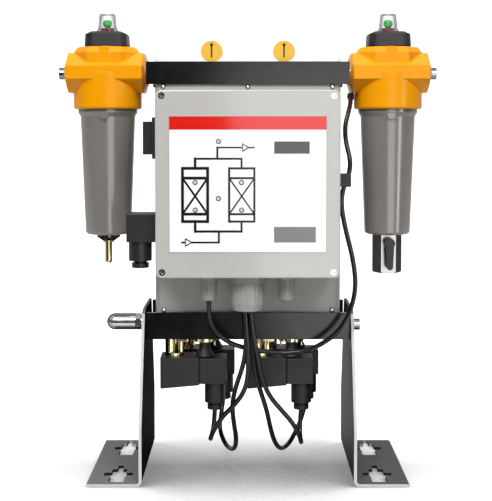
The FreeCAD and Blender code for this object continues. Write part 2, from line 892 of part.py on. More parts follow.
def upper_block():
    """The head block with a raised middle that holds the two check valves."""
    owner = body("upper_block_body")
    place(owner, 0, AXIS, TOP_BAR_BOTTOM)
    pad(owner, outline(owner, "upper_base", "XY_Plane",
                       soft_box(S.column_width, S.column_depth, S.column_corner)), S.upper_block_height)
    raised = box_outline(-S.boss_width / 2, -BOSS_DEPTH / 2, S.boss_width / 2, BOSS_DEPTH / 2)
    pad(owner, outline(owner, "upper_boss", "XY_Plane", raised), S.upper_block_height + S.boss_height)
    top = S.upper_block_height + S.boss_height
    eased(owner, S.block_edge, lambda e: at(e, "z", top), chamfer=True)
    height = CHECK_HEIGHT - TOP_BAR_BOTTOM
    shanks = [(side * S.check_spread / 2, height, S.check_shank) for side in (-1, 1)]
    pocket(owner, rounds(owner, "check_bores", "XZ_Plane", shanks, lift=BOSS_DEPTH / 2), S.check_depth)
    seats = [(x, z, S.check_head + 2 * S.check_seat_gap) for x, z, bore in shanks]
    pocket(owner, rounds(owner, "check_seats", "XZ_Plane", seats, lift=S.column_depth / 2),
           S.boss_inset)
    seat = PORT_HEIGHT - TOP_BAR_BOTTOM
    transfer = rounds(owner, "transfer_bores", "YZ_Plane", [(0, seat, S.transfer_outside)],
                      lift=S.column_width / 2)
    pocket(owner, transfer, S.transfer_depth)
    other = rounds(owner, "transfer_bores_left", "YZ_Plane", [(0, seat, S.transfer_outside)],
                   lift=-S.column_width / 2)
    pocket(owner, other, S.transfer_depth, back=True)
    keep(owner, "upper_block")


def check_valve_plugs():
    """Two slotted screw plugs in the front of the upper block."""
    plugs = []
    face = AXIS - BOSS_DEPTH / 2
    for side in (-1, 1):
        name = "check_plug_%d" % (side + 1)
        x = side * S.check_spread / 2
        rim = rod(name + "_rim", x, face - S.check_rim, CHECK_HEIGHT, S.check_head, S.check_rim, "y")
        shank = rod(name + "_shank", x, face, CHECK_HEIGHT, S.check_shank,
                    S.check_depth - S.check_end_gap, "y")
        slot = brick(name + "_slot", x - S.check_slot_width / 2, face - S.check_rim,
                     CHECK_HEIGHT - S.check_slot_height / 2,
                     S.check_slot_width, S.check_slot_depth, S.check_slot_height)
        dimple = rod(name + "_dimple", x, face - S.check_rim, CHECK_HEIGHT + S.check_slot_height / 2,
                     2 * S.check_slot_width, S.check_slot_depth, "y")
        plugs.append(without(name, joined(name + "_blank", rim, shank), slot, dimple))
    keep(grouped("check_plug_group", *plugs), "check_valve_plugs")


def lower_block():
    """The block under the column, drilled for the silencer, the stub and the four valves."""
    owner = body("lower_block_body")
    place(owner, 0, AXIS, LOWER_BAR_BOTTOM)
    pad(owner, outline(owner, "lower_base", "XY_Plane",
                       soft_box(S.column_width, S.column_depth, S.column_corner)), S.lower_bar_height)
    for side, height, size in ((-1, SILENCER_HEIGHT, S.silencer_neck), (1, STUB_HEIGHT, S.stub_diameter)):
        sketch = rounds(owner, "side_port_%d" % (side + 1), "YZ_Plane",
                        [(0, height - LOWER_BAR_BOTTOM, size)], lift=side * S.column_width / 2)
        pocket(owner, sketch, S.lower_port, back=side < 0)
    keep(owner, "lower_block")


def ports():
    """Nipples at the outer ports, nipples to the upper block, the silencer and the closing stub."""
    outer, transfer = [], []
    for side, way in ((-1, "-x"), (1, "x")):
        name = "port_nipple_%d" % (side + 1)
        lobe = side * (FILTER_X + HEAD_REACH)
        start = lobe - side * S.port_depth
        proud = S.port_proud
        tube = rod(name + "_tube", lobe, AXIS, PORT_HEIGHT, S.nipple_outside, proud, way)
        thread = rod(name + "_thread", start, AXIS, PORT_HEIGHT, S.nipple_thread, S.port_depth, way)
        bore = rod(name + "_bore", start, AXIS, PORT_HEIGHT, S.nipple_bore, proud + S.port_depth, way)
        outer.append(without(name, joined(name + "_blank", tube, thread), bore))
        name = "transfer_nipple_%d" % (side + 1)
        start = side * (COLUMN_SIDE - S.transfer_depth)
        length = FILTER_X - HEAD_REACH - COLUMN_SIDE + S.transfer_depth + S.port_depth
        tube = rod(name + "_tube", start, AXIS, PORT_HEIGHT, S.transfer_outside, length, way)
        bore = rod(name + "_bore", start, AXIS, PORT_HEIGHT, S.transfer_bore, length, way)
        transfer.append(without(name, tube, bore))
    keep(grouped("port_nipple_group", *outer), "port_nipples")
    keep(grouped("transfer_nipple_group", *transfer), "transfer_nipples")

    silencer = body("silencer_body")
    place(silencer, -(COLUMN_SIDE - S.lower_port), AXIS, SILENCER_HEIGHT, ((0, 1, 0), -90))
    neck, full = S.silencer_neck / 2, S.silencer_diameter / 2
    tip = SILENCER_REACH - COLUMN_SIDE + S.lower_port
    start = tip - S.silencer_length
    half_section = [
        (0, 0),
        (neck, 0),
        (neck, start),
        (full, start),
        (full, tip - full, full, 1),
        (0, tip),
    ]
    turned(silencer, "silencer_section", half_section)
    nut_x = -(COLUMN_SIDE - S.lower_port) - start + S.silencer_hex_width
    nut = hexagon("silencer_nut", nut_x, AXIS, SILENCER_HEIGHT, S.silencer_hex, S.silencer_hex_width, "-x")
    keep(joined("silencer_and_nut", silencer, nut), "silencer")

    stub = rod("stub_rod", COLUMN_SIDE - S.lower_port, AXIS, STUB_HEIGHT, S.stub_diameter,
               STUB_REACH - COLUMN_SIDE + S.lower_port, "x")
    socket = hexagon("stub_socket", STUB_REACH, AXIS, STUB_HEIGHT, S.stub_diameter / 2,
                     S.stub_diameter / 3, "-x")
    keep(without("stub_plug", stub, socket), "block_stub")


def enclosure():
    """The controller box: base, lid, screws, foil and the board inside."""
    base_depth = COLUMN_FRONT - LID_BACK
    base = body("enclosure_base_body")
    place(base, 0, COLUMN_FRONT, ENCLOSURE_MIDDLE)
    skin = soft_box(S.enclosure_width, ENCLOSURE_HEIGHT, S.enclosure_corner)
    pad(base, outline(base, "base_skin", "XZ_Plane", skin), base_depth - S.seam_width)
    tongue = soft_box(S.enclosure_width - 2 * S.seam_depth, ENCLOSURE_HEIGHT - 2 * S.seam_depth,
                      S.enclosure_corner - S.seam_depth)
    pad(base, outline(base, "base_tongue", "XZ_Plane", tongue), base_depth)
    inner_corner = S.enclosure_corner - S.enclosure_wall
    hollow = soft_box(S.enclosure_width - 2 * S.enclosure_wall, ENCLOSURE_HEIGHT - 2 * S.enclosure_wall,
                      inner_corner)
    pocket(base, outline(base, "base_hollow", "XZ_Plane", hollow, lift=base_depth),
           base_depth - S.enclosure_wall)
    screw_x = ENCLOSURE_SIDE - S.lid_screw_side
    screw_z = ENCLOSURE_HEIGHT / 2 - S.lid_screw_end
    seats = [(side * screw_x, end * screw_z) for side in (-1, 1) for end in (-1, 1)]
    pad(base, rounds(base, "base_pillars", "XZ_Plane",
                     [(x, z, S.pillar) for x, z in seats], lift=S.enclosure_wall),
        base_depth - S.enclosure_wall)
    pocket(base, rounds(base, "base_screw_holes", "XZ_Plane",
                        [(x, z, S.lid_screw_shank) for x, z in seats], lift=base_depth),
           base_depth - S.enclosure_wall)
    board_x, board_z = S.board_width / 2 - S.standoff, S.board_height / 2 - S.standoff
    feet = [(side * board_x, end * board_z, S.standoff) for side in (-1, 1) for end in (-1, 1)]
    pad(base, rounds(base, "base_standoffs", "XZ_Plane", feet, lift=S.enclosure_wall), S.standoff_height)
    keep(base, "enclosure_base")

    lid = body("enclosure_lid_body")
    place(lid, 0, LID_BACK, ENCLOSURE_MIDDLE)
    pad(lid, outline(lid, "lid_skin", "XZ_Plane", skin), S.lid_depth)
    eased(lid, S.lid_edge, lambda e: at(e, "y", -S.lid_depth))
    pocket(lid, outline(lid, "lid_hollow", "XZ_Plane", hollow), S.lid_depth - S.enclosure_wall, back=True)
    pad(lid, rounds(lid, "lid_pillars", "XZ_Plane", [(x, z, S.pillar) for x, z in seats]),
        S.lid_depth - S.enclosure_wall)
    pocket(lid, rounds(lid, "lid_screw_holes", "XZ_Plane", [(x, z, S.lid_screw_shank) for x, z in seats]))
    sink = rounds(lid, "lid_screw_sinks", "XZ_Plane", [(x, z, S.lid_screw_head) for x, z in seats],
                  lift=S.lid_depth)
    pocket(lid, sink, S.lid_screw_sink + S.lid_screw_head_height)
    keep(lid, "enclosure_lid")

    screws = []
    for number, (x, z) in enumerate(seats):
        name = "lid_screw_%d" % number
        front = LID_FRONT + S.lid_screw_sink
        head = rod(name + "_head", x, front, ENCLOSURE_MIDDLE + z, S.lid_screw_head,
                   S.lid_screw_head_height, "y")
        shank = rod(name + "_shank", x, front, ENCLOSURE_MIDDLE + z, S.lid_screw_shank, S.lid_screw_length, "y")
        slots = []
        for wide, tall in ((S.lid_screw_cross, S.lid_screw_slot), (S.lid_screw_slot, S.lid_screw_cross)):
            slots.append(brick("%s_slot_%d" % (name, len(slots)), x - wide / 2, front,
                               ENCLOSURE_MIDDLE + z - tall / 2, wide, S.lid_screw_slot, tall))
        screws.append(without(name, joined(name + "_blank", head, shank), *slots))
    keep(grouped("lid_screw_group", *screws), "lid_screws")

    foil = body("front_foil_body")
    place(foil, 0, LID_FRONT, ENCLOSURE_MIDDLE)
    pad(foil, outline(foil, "foil_skin", "XZ_Plane", soft_box(S.foil_width, S.foil_height, S.foil_corner)),
        S.foil_thickness)
    window_bottom = DISPLAY_TOP - S.display_height - ENCLOSURE_MIDDLE
    window = box_outline(S.display_left, window_bottom, S.display_left + S.display_width,
                         window_bottom + S.display_height)
    pocket(foil, outline(foil, "foil_window", "XZ_Plane", window, lift=S.foil_thickness), S.display_depth)
    keep(foil, "front_foil")

    board_y = COLUMN_FRONT - S.enclosure_wall - S.standoff_height - S.board_thickness
    plate = brick("board_plate", -S.board_width / 2, board_y, ENCLOSURE_MIDDLE - S.board_height / 2,
                  S.board_width, S.board_thickness, S.board_height)
    chips = [plate]
    for number, (x, z, wide, tall, high) in enumerate(
        ((-50, 30, 28, 22, 1.0), (10, 35, 40, 16, 0.6), (-20, -30, 16, 34, 1.0), (35, -25, 12, 12, 0.3))
    ):
        chips.append(brick("board_part_%d" % number, x, board_y - S.chip_height * high,
                           ENCLOSURE_MIDDLE + z - tall / 2, wide, S.chip_height * high, tall))
    keep(joined("board", *chips), "circuit_board")


def gland(name, x, nut, flats, flange, length):
    """A cable gland that hangs from the enclosure: hexagon, ridged nut that tapers, and seal."""
    top = ENCLOSURE_BOTTOM
    y = GLAND_PLANE
    hexed = hexagon(name + "_hex", x, y, top, flats, flange, "-z", 0)
    nut_length = length * S.gland_nut_share
    straight = rod(name + "_nut", x, y, top - flange, nut - S.gland_ridge, nut_length, "-z")
    ridges = []
    for number in range(6):
        ridge = doc.addObject("Part::Box", "%s_ridge_%d" % (name, number))
        bind(ridge, "Length", nut)
        bind(ridge, "Width", S.gland_ridge_width)
        bind(ridge, "Height", nut_length)
        turn = Rotation(Vector(0, 0, 1), 30 * number)
        ridge.Placement = Placement(Vector(0, 0, 0), turn)
        reach = turn.multVec(Vector(1, 0, 0))
        sway = turn.multVec(Vector(0, 1, 0))
        half_ridge = S.gland_ridge_width / 2
        bind(ridge, "Placement.Base.x", x - nut * (reach.x / 2) - half_ridge * sway.x)
        bind(ridge, "Placement.Base.y", y - nut * (reach.y / 2) - half_ridge * sway.y)
        bind(ridge, "Placement.Base.z", top - flange - nut_length)
        ridges.append(ridge)
    dome = cone(name + "_dome", x, y, top - flange - nut_length, nut - S.gland_ridge, nut * S.gland_taper,
                length - flange - nut_length - S.gland_seal, "-z")
    seal = rod(name + "_seal", x, y, top - length, nut * S.gland_seal_share, S.gland_seal)
    return joined(name, hexed, straight, dome, seal, *ridges)


def glands():
    """Two small glands and a large one under the enclosure."""
    small = [
        gland("small_gland_%d" % (side + 1), side * S.small_gland_spread / 2, S.small_gland_nut,
              S.small_gland_hex, S.small_gland_flange, S.small_gland_length)
        for side in (-1, 1)
    ]
    keep(grouped("small_gland_group", *small), "small_glands")
    keep(gland("large_gland", Size.of(0), S.large_gland_nut, S.large_gland_hex, S.large_gland_flange,
               S.large_gland_length), "large_gland")


def connector(name, x, y, z, length, depth, height, barrel_x, barrel, barrel_length, collar, collar_length,
              neck, edge):
    """A right-angled plug: a squared housing, a downward barrel and a clamping collar."""
    house = brick(name + "_house", x, y - depth / 2, z, length, depth, height)
    soft = rounded(name + "_soft", house, edge, lambda e: not at(e, "z", z))
    drop = rod(name + "_barrel", barrel_x, y, z, barrel, barrel_length, "-z")
    low = z - barrel_length
    throat = rod(name + "_neck", barrel_x, y, low, neck, collar_length, "-z")
    ring = rod(name + "_collar", barrel_x, y, low - collar_length * 0.35, collar, collar_length * 0.65, "-z")
    return joined(name, soft, drop, throat, ring)


def side_fittings():
    """Power plug and ribbed socket on the left wall, cord clip on the right wall."""
    plug = connector("power_plug", -ENCLOSURE_SIDE - S.plug_reach, GLAND_PLANE, PLUG_BOTTOM, S.plug_reach,
                     S.plug_depth, S.plug_height, -ENCLOSURE_SIDE - S.plug_reach + S.plug_barrel / 2 + 1,
                     S.plug_barrel, S.plug_barrel_length, S.plug_collar, S.plug_collar_length, S.plug_neck,
                     S.connector_edge)
    keep(plug, "side_plug")

    y = GLAND_PLANE
    middle = SOCKET_BOTTOM + S.socket_flange_height / 2
    flange = brick("socket_flange_plate", -ENCLOSURE_SIDE - S.socket_flange, y - S.socket_depth / 2,
                   SOCKET_BOTTOM, S.socket_flange, S.socket_depth, S.socket_flange_height)
    core = brick("socket_core", -ENCLOSURE_SIDE - S.socket_reach, y - S.socket_depth / 2 + S.socket_flange,
                 middle - S.socket_body_height / 2, S.socket_reach,
                 S.socket_depth - 2 * S.socket_flange, S.socket_body_height)
    ribs = []
    for number in range(3):
        x = -ENCLOSURE_SIDE - S.socket_reach + number * 3 * S.socket_rib
        ribs.append(brick("socket_rib_%d" % number, x, y - S.socket_depth / 2 + S.socket_flange - S.socket_rib,
                          middle - S.socket_body_height / 2, S.socket_rib * 1.8,
                          S.socket_depth - 2 * S.socket_flange + 2 * S.socket_rib, S.socket_body_height))
    keep(joined("ribbed_socket", flange, core, *ribs), "side_socket")

    low = CLIP_HEIGHT - S.clip_rise / 2
    clip = brick("clip_block", ENCLOSURE_SIDE, y - S.clip_depth / 2, low, S.clip_width, S.clip_depth, S.clip_rise)
    groove = brick("clip_groove", ENCLOSURE_SIDE + S.clip_floor, y - S.clip_gap / 2, low,
                   S.clip_width, S.clip_gap, S.clip_rise)
    keep(without("clip", clip, groove), "cord_clip")


def eight_sided(width, depth, corner):
    """A rectangle with its four corners cut off."""
    right, back = width / 2, depth / 2
    return [
        (-right + corner, -back),
        (right - corner, -back),
        (right, -back + corner),
        (right, back - corner),
        (right - corner, back),
        (-right + corner, back),
        (-right, back - corner),
        (-right, -back + corner),
    ]


def inward_taper(start, end, length):
    """Taper angle of a pad that narrows from one width to another."""
    return -math.degrees(math.atan2((start - end).value / 2, length.value))


def filter_head(side, label):
    """The cast head: an eight-sided barrel between the ports, a stepped top and a round skirt."""
    owner = body(label + "_body")
    place(owner, side * FILTER_X, AXIS, PORT_HEIGHT)
    deep, high = S.head_depth / 2, S.head_height / 2
    flat, foot = S.head_flat / 2, S.head_foot_flat / 2
    section = [
        (-foot, -high),
        (foot, -high),
        (deep, -flat),
        (deep, flat),
        (foot, high),
        (-foot, high),
        (-deep, flat),
        (-deep, -flat),
    ]
    straight = S.head_length - 2 * S.head_end_length
    pad(owner, outline(owner, label + "_barrel", "YZ_Plane", section), straight, both_ways=True)
    end_taper = -math.degrees(math.atan2(S.head_end_set.value, S.head_end_length.value))
    for end in (-1, 1):
        cap = outline(owner, "%s_end_%d" % (label, end + 1), "YZ_Plane", section, lift=end * straight / 2)
        pad(owner, cap, S.head_end_length, back=end < 0, taper=end_taper)

    base = SKIRT_BOTTOM - PORT_HEIGHT
    pad(owner, rounds(owner, label + "_skirt", "XY_Plane", [(0, 0, S.skirt_diameter)], lift=base), -base)
    eased(owner, S.skirt_edge, lambda e: at(e, "z", base), chamfer=True)

    tier_depth = S.tier_width - 2 * (HEAD_REACH - S.head_depth / 2) / 2
    low, step, top = (z - PORT_HEIGHT for z in (TIER_BOTTOM, TIER_STEP, TIER_TOP))
    tier = eight_sided(S.tier_width, tier_depth, S.tier_corner)
    pad(owner, outline(owner, label + "_tier", "XY_Plane", tier), step)
    slope = inward_taper(S.tier_width, S.tier_top_width, top - step)
    pad(owner, outline(owner, label + "_slope", "XY_Plane", tier, lift=step), top - step, taper=slope)
    collar = rounds(owner, label + "_collar", "XY_Plane", [(0, 0, S.collar_diameter)], lift=low)
    pad(owner, collar, HEAD_TOP - TIER_BOTTOM)
    for face in (-1, 1):
        rib_front = face * (tier_depth / 2 - S.rib_depth / 2)
        rib = box_outline(-S.rib_width / 2, rib_front - S.rib_depth / 2,
                          S.rib_width / 2, rib_front + S.rib_depth / 2)
        pad(owner, outline(owner, "%s_rib_%d" % (label, face + 1), "XY_Plane", rib,
                           lift=top - S.rib_drop), S.rib_drop)

    neck = S.bowl_neck / 2 - S.bowl_wall
    inside = [
        (0, base),
        (neck + S.bowl_fit, base),
        (neck + S.bowl_fit, base + S.bowl_insert + S.bowl_fit),
        (S.element_spigot / 2, base + S.bowl_insert + 2 * S.bowl_fit),
        (S.element_spigot / 2, high - S.port_thread),
        (0, high - S.port_thread),
    ]
    turned(owner, label + "_cavity", inside, cut=True)
    piston = [
        (0, high - 2 * S.port_thread),
        (S.piston_stem / 2 + S.piston_fit, high - 2 * S.port_thread),
        (S.piston_stem / 2 + S.piston_fit, HEAD_TOP - PORT_HEIGHT),
        (0, HEAD_TOP - PORT_HEIGHT),
    ]
    turned(owner, label + "_piston_bore", piston, cut=True)
    for end, size in ((side, S.nipple_thread), (-side, S.transfer_outside)):
        port = rounds(owner, "%s_port_%d" % (label, end + 1), "YZ_Plane", [(0, 0, size)],
                      lift=end * HEAD_REACH)
        pocket(owner, port, S.port_depth, back=end < 0)
        way = rounds(owner, "%s_way_%d" % (label, end + 1), "YZ_Plane", [(0, 0, S.port_way)],
                     lift=end * HEAD_REACH)
        pocket(owner, way, HEAD_REACH, back=end < 0)
    keep(owner, label)


def bowl(side, label):
    """A tapered bowl with a screwed neck, a round lug on its front and a drain hole in its floor."""
    owner = body(label + "_body")
    place(owner, side * FILTER_X, AXIS, BOWL_BOTTOM)
    top = SKIRT_BOTTOM - BOWL_BOTTOM
    neck_low = top - S.bowl_neck_length
    shoulder = neck_low - S.bowl_shoulder
    neck, upper, lower = S.bowl_neck / 2, S.bowl_top / 2, S.bowl_base / 2
    screw = neck - S.bowl_wall
    wall, drain = S.bowl_wall, S.drain_hole / 2
    outside = [
        (drain, 0),
        (lower - S.bowl_edge, 0, S.bowl_edge, 1),
        (lower, S.bowl_edge),
        (upper, shoulder),
        (neck, neck_low),
        (neck, top),
        (screw, top),
        (screw, top + S.bowl_insert),
        (upper - wall, top + S.bowl_insert),
        (upper - wall, shoulder),
        (lower - wall, 2 * wall),
        (drain + wall, wall),
        (drain, wall),
    ]
    turned(owner, label + "_section", outside)
    height = top - S.bowl_boss_drop
    boss = rounds(owner, label + "_lug", "XZ_Plane", [(0, height, S.bowl_boss)], lift=upper - wall)
    pad(owner, boss, wall + S.bowl_boss_proud)
    keep(owner, label)


def filter_element(side, label):
    """The filter sleeve between two end caps, held up by a spigot in the head."""
    owner = body(label + "_body")
    top = SKIRT_BOTTOM + S.bowl_insert
    place(owner, side * FILTER_X, AXIS, top - S.element_length)
    outer, spigot = S.element_diameter / 2, S.element_spigot / 2 - S.bowl_fit
    inner, rim = outer - S.element_wall, outer + S.element_rim
    section = [
        (0, 0),
        (rim, 0),
        (rim, S.element_cap),
        (outer, S.element_cap),
        (outer, S.element_length - S.element_cap),
        (rim, S.element_length - S.element_cap),
        (rim, S.element_length),
        (spigot, S.element_length),
        (spigot, S.element_length + S.element_post),
        (spigot - S.element_tube, S.element_length + S.element_post),
        (spigot - S.element_tube, S.element_length - S.element_cap),
        (inner, S.element_length - S.element_cap),
        (inner, S.element_cap),
        (0, S.element_cap),
    ]
    turned(owner, label + "_section", section)
    keep(owner, label)


def indicator(side, name):
    """The black cap, the clear dome and the piston that rises inside it."""
    x = side * FILTER_X
    cap = body(name + "_cap_body")
    place(cap, x, AXIS, HEAD_TOP)
    block = soft_box(S.cap_width, S.cap_width, S.cap_corner)
    slope = inward_taper(S.cap_width, S.cap_top_width, S.cap_height)
    pad(cap, outline(cap, name + "_cap_skirt", "XY_Plane", block), S.cap_height, taper=slope)
    crown = soft_box(S.cap_top_width, S.cap_top_width, S.cap_corner - (S.cap_width - S.cap_top_width) / 2)
    lean = inward_taper(S.cap_top_width, S.cap_crown_width, S.cap_crown)
    pad(cap, outline(cap, name + "_cap_crown", "XY_Plane", crown, lift=S.cap_height), S.cap_crown, taper=lean)
    full = S.cap_height + S.cap_crown
    hole = S.piston_base / 2 + S.piston_fit
    stem = S.piston_stem / 2 + S.piston_fit
    bore = [(0, 0), (stem, 0), (stem, full - S.piston_seat), (hole, full - S.piston_seat), (hole, full), (0, full)]
    turned(cap, name + "_cap_bore", bore, cut=True)
    keep(cap, name + "_indicator_cap")

    dome = body(name + "_dome_body")
    place(dome, x, AXIS, HEAD_TOP + full)
    foot, waist, tip, wall = S.dome_base / 2, S.dome_body / 2, S.dome_top / 2, S.dome_wall
    edge = S.dome_edge
    section = [
        (foot - wall, 0),
        (foot, 0),
        (foot, wall),
        (waist, S.dome_step),
        (tip, S.dome_height - edge, edge, 1),
        (tip - edge, S.dome_height),
        (0, S.dome_height),
        (0, S.dome_height - wall),
        (tip - edge, S.dome_height - wall, edge - wall, -1),
        (tip - wall, S.dome_height - edge),
        (waist - wall, S.dome_step),
    ]
    turned(dome, name + "_dome_section", section)
    keep(dome, name + "_indicator_dome")

    piston = body(name + "_piston_body")
    seat = full - S.piston_seat
    place(piston, x, AXIS, HEAD_TOP + seat)
    base, head, stem = S.piston_base / 2, S.piston_head / 2, S.piston_stem / 2
    waist = S.piston_waist / 2
    section = [
        (0, -S.piston_stem_length),
        (stem, -S.piston_stem_length),
        (stem, 0),
        (base, 0),
        (base, S.piston_foot - S.piston_fit),
        (waist, S.piston_foot),
        (waist, S.piston_foot + S.piston_seat),
        (head, S.piston_height * 0.6),
        (head, S.piston_height * 0.85),
        (waist, S.piston_height),
        (0, S.piston_height),
    ]
    turned(piston, name + "_piston_section", section)
    keep(piston, name + "_indicator_piston")


def float_drain():
    """The brass drain barb under the left bowl and the float that opens it."""
    x = -FILTER_X
    barb = body("drain_barb_body")
    place(barb, x, AXIS, BARB_BOTTOM)
    top = BOWL_BOTTOM - BARB_BOTTOM
    collar, cone_end, rim = S.barb_collar / 2, S.barb_flange / 2, S.barb_flange / 2
    collar_low = top - S.barb_collar_height
    cone_low = collar_low - S.barb_cone_height
    tube, bore = S.barb_tube / 2, S.barb_bore / 2
    post = S.float_guide / 2
    post_top = top + S.bowl_wall + S.float_rest + S.float_height
    section = [
        (bore, 0),
        (tube - 0.8, 0),
        (tube, 2),
        (tube, cone_low - S.barb_flange_height),
        (rim, cone_low - S.barb_flange_height),
        (rim, cone_low),
        (cone_end + 1, cone_low),
        (collar, collar_low),
        (collar, top),
        (S.drain_hole / 2, top),
        (S.drain_hole / 2, top + S.bowl_wall + S.float_rest),
        (post, top + S.bowl_wall + S.float_rest),
        (post, post_top),
        (bore, post_top),
    ]
    turned(barb, "drain_barb_section", section)
    keep(barb, "drain_barb")

    bob = body("drain_float_body")
    place(bob, x, AXIS, BOWL_BOTTOM + S.bowl_wall + S.float_rest)
    hole, outer = post + S.float_fit, S.float_diameter / 2
    section = [(hole, 0), (outer, 0), (outer, S.float_height), (hole, S.float_height)]
    turned(bob, "drain_float_section", section)
    keep(bob, "drain_float")


def drain_valve():
    """The hexagonal drain valve under the right bowl and its quarter-turn lever."""
    x = FILTER_X
    height = BOWL_BOTTOM - VALVE_BOTTOM
    bar = hexagon("drain_hex", x, AXIS, VALVE_BOTTOM, S.valve_hex, height)
    spigot = rod("drain_spigot", x, AXIS, BOWL_BOTTOM, S.drain_hole, S.bowl_wall)
    across = S.valve_hex * (2 / math.sqrt(3))
    trim = cone("drain_trim", x, AXIS, VALVE_BOTTOM, across - 2 * S.valve_edge,
                across - 2 * S.valve_edge + 2 * height, height)
    shaped = doc.addObject("Part::Common", "drain_shaped")
    shaped.Base, shaped.Tool = bar, trim
    bore = rod("drain_bore", x, AXIS, VALVE_BOTTOM, S.valve_bore, height + S.bowl_wall)
    face = AXIS - S.valve_hex / 2
    stem_bore = rod("drain_stem_bore", x, face, LEVER_HEIGHT,
                    S.lever_stem + 2 * S.lever_fit, S.lever_sunk + S.lever_fit, "y")
    keep(without("drain_body", joined("drain_blank", shaped, spigot), bore, stem_bore), "drain_valve_body")

    hub_front = face - S.lever_washer_width - S.lever_hub_width
    stem = rod("lever_stem_rod", x, face + S.lever_sunk, LEVER_HEIGHT, S.lever_stem,
               S.lever_sunk + S.lever_washer_width + S.lever_hub_width, "-y")
    washer = rod("lever_washer_rod", x, face - S.lever_fit, LEVER_HEIGHT, S.lever_washer,
                 S.lever_washer_width - S.lever_fit, "-y")
    hub = rod("lever_hub_rod", x, hub_front, LEVER_HEIGHT, S.lever_hub, S.lever_hub_width, "y")
    arm = body("lever_arm_body")
    place(arm, x, hub_front + S.lever_thickness, LEVER_HEIGHT)
    wide, thin, tip = S.lever_width / 2, S.lever_tip_width / 2, -S.lever_length
    pad(arm, outline(arm, "lever_arm", "XZ_Plane",
                     [(-wide, 0), (-thin, tip + thin, thin * 1.02, 1), (thin, tip + thin), (wide, 0)]),
        S.lever_thickness)
    keep(joined("lever", stem, washer, hub, arm), "drain_lever")


def valves():
    """Four solenoid valves in two rows under the lower block, their brass bodies in one node."""
    bodies = []
    for row, row_name in enumerate(("front", "rear")):
        for side, side_name in ((-1, "left"), (1, "right")):
            name = "%s_%s_valve" % (row_name, side_name)
            x = side * S.valve_spread / 2 + row * S.valve_rear_shift
            y = AXIS - S.valve_row_front + row * S.valve_pitch
            bodies.extend(valve(name, x, y))
    keep(grouped("valve_body_group", *bodies), "valve_bodies")


def valve(name, x, y):
    """One valve: the brass seat and feed tube, the black coil and its plug."""
    top = LOWER_BAR_BOTTOM
    disc_low = top - S.disc_thickness
    disc = rod(name + "_disc", x, y, top, S.disc_diameter, S.disc_thickness, "-z")
    bolts = [
        rod("%s_bolt_%d" % (name, number), x + across * S.disc_bolt_set, y + deep * S.disc_bolt_set / 2,
            disc_low, S.disc_bolt, S.disc_bolt_drop, "-z")
        for number, (across, deep) in enumerate(((-1, -1), (1, -1), (-1, 1), (1, 1)))
    ]
    seat = joined(name + "_seat", disc, *bolts)
    tube = rod(name + "_tube", x - S.tube_set, y, top, S.tube_diameter, top - COIL_TOP, "-z")
    flange = rod(name + "_flange", x - S.tube_flange_set, y, COIL_TOP, S.tube_flange, S.tube_flange_height)
    shoe = brick(name + "_shoe", x - S.shoe_left, y - S.shoe_width / 2, top - S.shoe_height,
                 S.shoe_length, S.shoe_width, S.shoe_height)
    neck = rod(name + "_shoe_neck", x - S.shoe_neck_set, y, top, S.shoe_neck, top - COIL_TOP, "-z")
    feed = joined(name + "_feed", tube, flange, shoe, neck)
    brass = [seat, feed]

    coil = body(name + "_coil_body")
    place(coil, x - S.coil_left, y, 0)
    long = S.coil_length
    side_view = [
        (0, COIL_BOTTOM),
        (long, COIL_BOTTOM + S.coil_slope),
        (long, COIL_TOP),
        (0, COIL_TOP),
    ]
    pad(coil, outline(coil, name + "_coil_side", "XZ_Plane", side_view), S.coil_depth, both_ways=True)
    eased(coil, S.coil_edge, lambda e: along(e, (0, 0, 1)))
    keep(coil, name + "_coil")

    plug_x = x - S.coil_left + S.coil_length
    plug = connector(name + "_plug_shape", plug_x, y, CONNECTOR_BOTTOM, S.connector_length, S.connector_depth,
                     S.connector_height, x + S.barrel_set, S.barrel_diameter,
                     CONNECTOR_BOTTOM - BARREL_BOTTOM, S.collar_width, BARREL_BOTTOM - COLLAR_BOTTOM,
                     S.neck_diameter, S.connector_edge)
    throat = rod(name + "_stem_foot", x, y, CONNECTOR_BOTTOM + S.connector_height, S.stem_foot,
                 COIL_TOP - CONNECTOR_BOTTOM - S.connector_height)
    stem = rod(name + "_stem", x, y, COIL_TOP, S.stem_diameter, disc_low - COIL_TOP)
    dome = cone(name + "_stem_dome", x, y, COIL_TOP, S.stem_dome, S.stem_diameter, S.stem_dome_height)
    keep(joined(name + "_plug_and_stem", plug, throat, stem, dome), name + "_plug")
    return brass


def cable_path(points, radius_share=0.45):
    """Straight runs joined by tangent arcs, each as large as its two runs allow."""
    edges, radii = [], []
    start = points[0]
    for before, corner, after in zip(points, points[1:], points[2:]):
        into, out = corner - before, after - corner
        half_turn = into.getAngle(out) / 2
        reach = radius_share * min(into.Length, out.Length)
        radii.append(reach / math.tan(half_turn))
        into.normalize()
        out.normalize()
        first, last = corner - into * reach, corner + out * reach
        bisector = (out - into).normalize()
        centre = corner + bisector * (radii[-1] / math.cos(half_turn))
        middle = centre - bisector * radii[-1]
        edges.append(Part.LineSegment(start, first).toShape())
        edges.append(Part.Arc(first, middle, last).toShape())
        start = last
    edges.append(Part.LineSegment(start, points[-1]).toShape())
    return Part.Wire(edges), radii


def cord(label, points):
    """A round cord along a route of hand-picked points."""
    points = [Vector(*point) for point in points]
    path, radii = cable_path(points)
    radius = S.cord_diameter.value / 2
    ring = Part.Wire(Part.Circle(points[0], points[1] - points[0], radius).toShape())
    tube = path.makePipeShell([ring], True, True)
    thing = doc.addObject("Part::Feature", label + "_tube")
    thing.Shape = tube
    share = tube.Volume / (math.pi * radius * radius * path.Length)
    print("%s: length %.1f, least radius %.1f, volume share %.4f" % (label, path.Length, min(radii), share))
    return keep(thing, label)


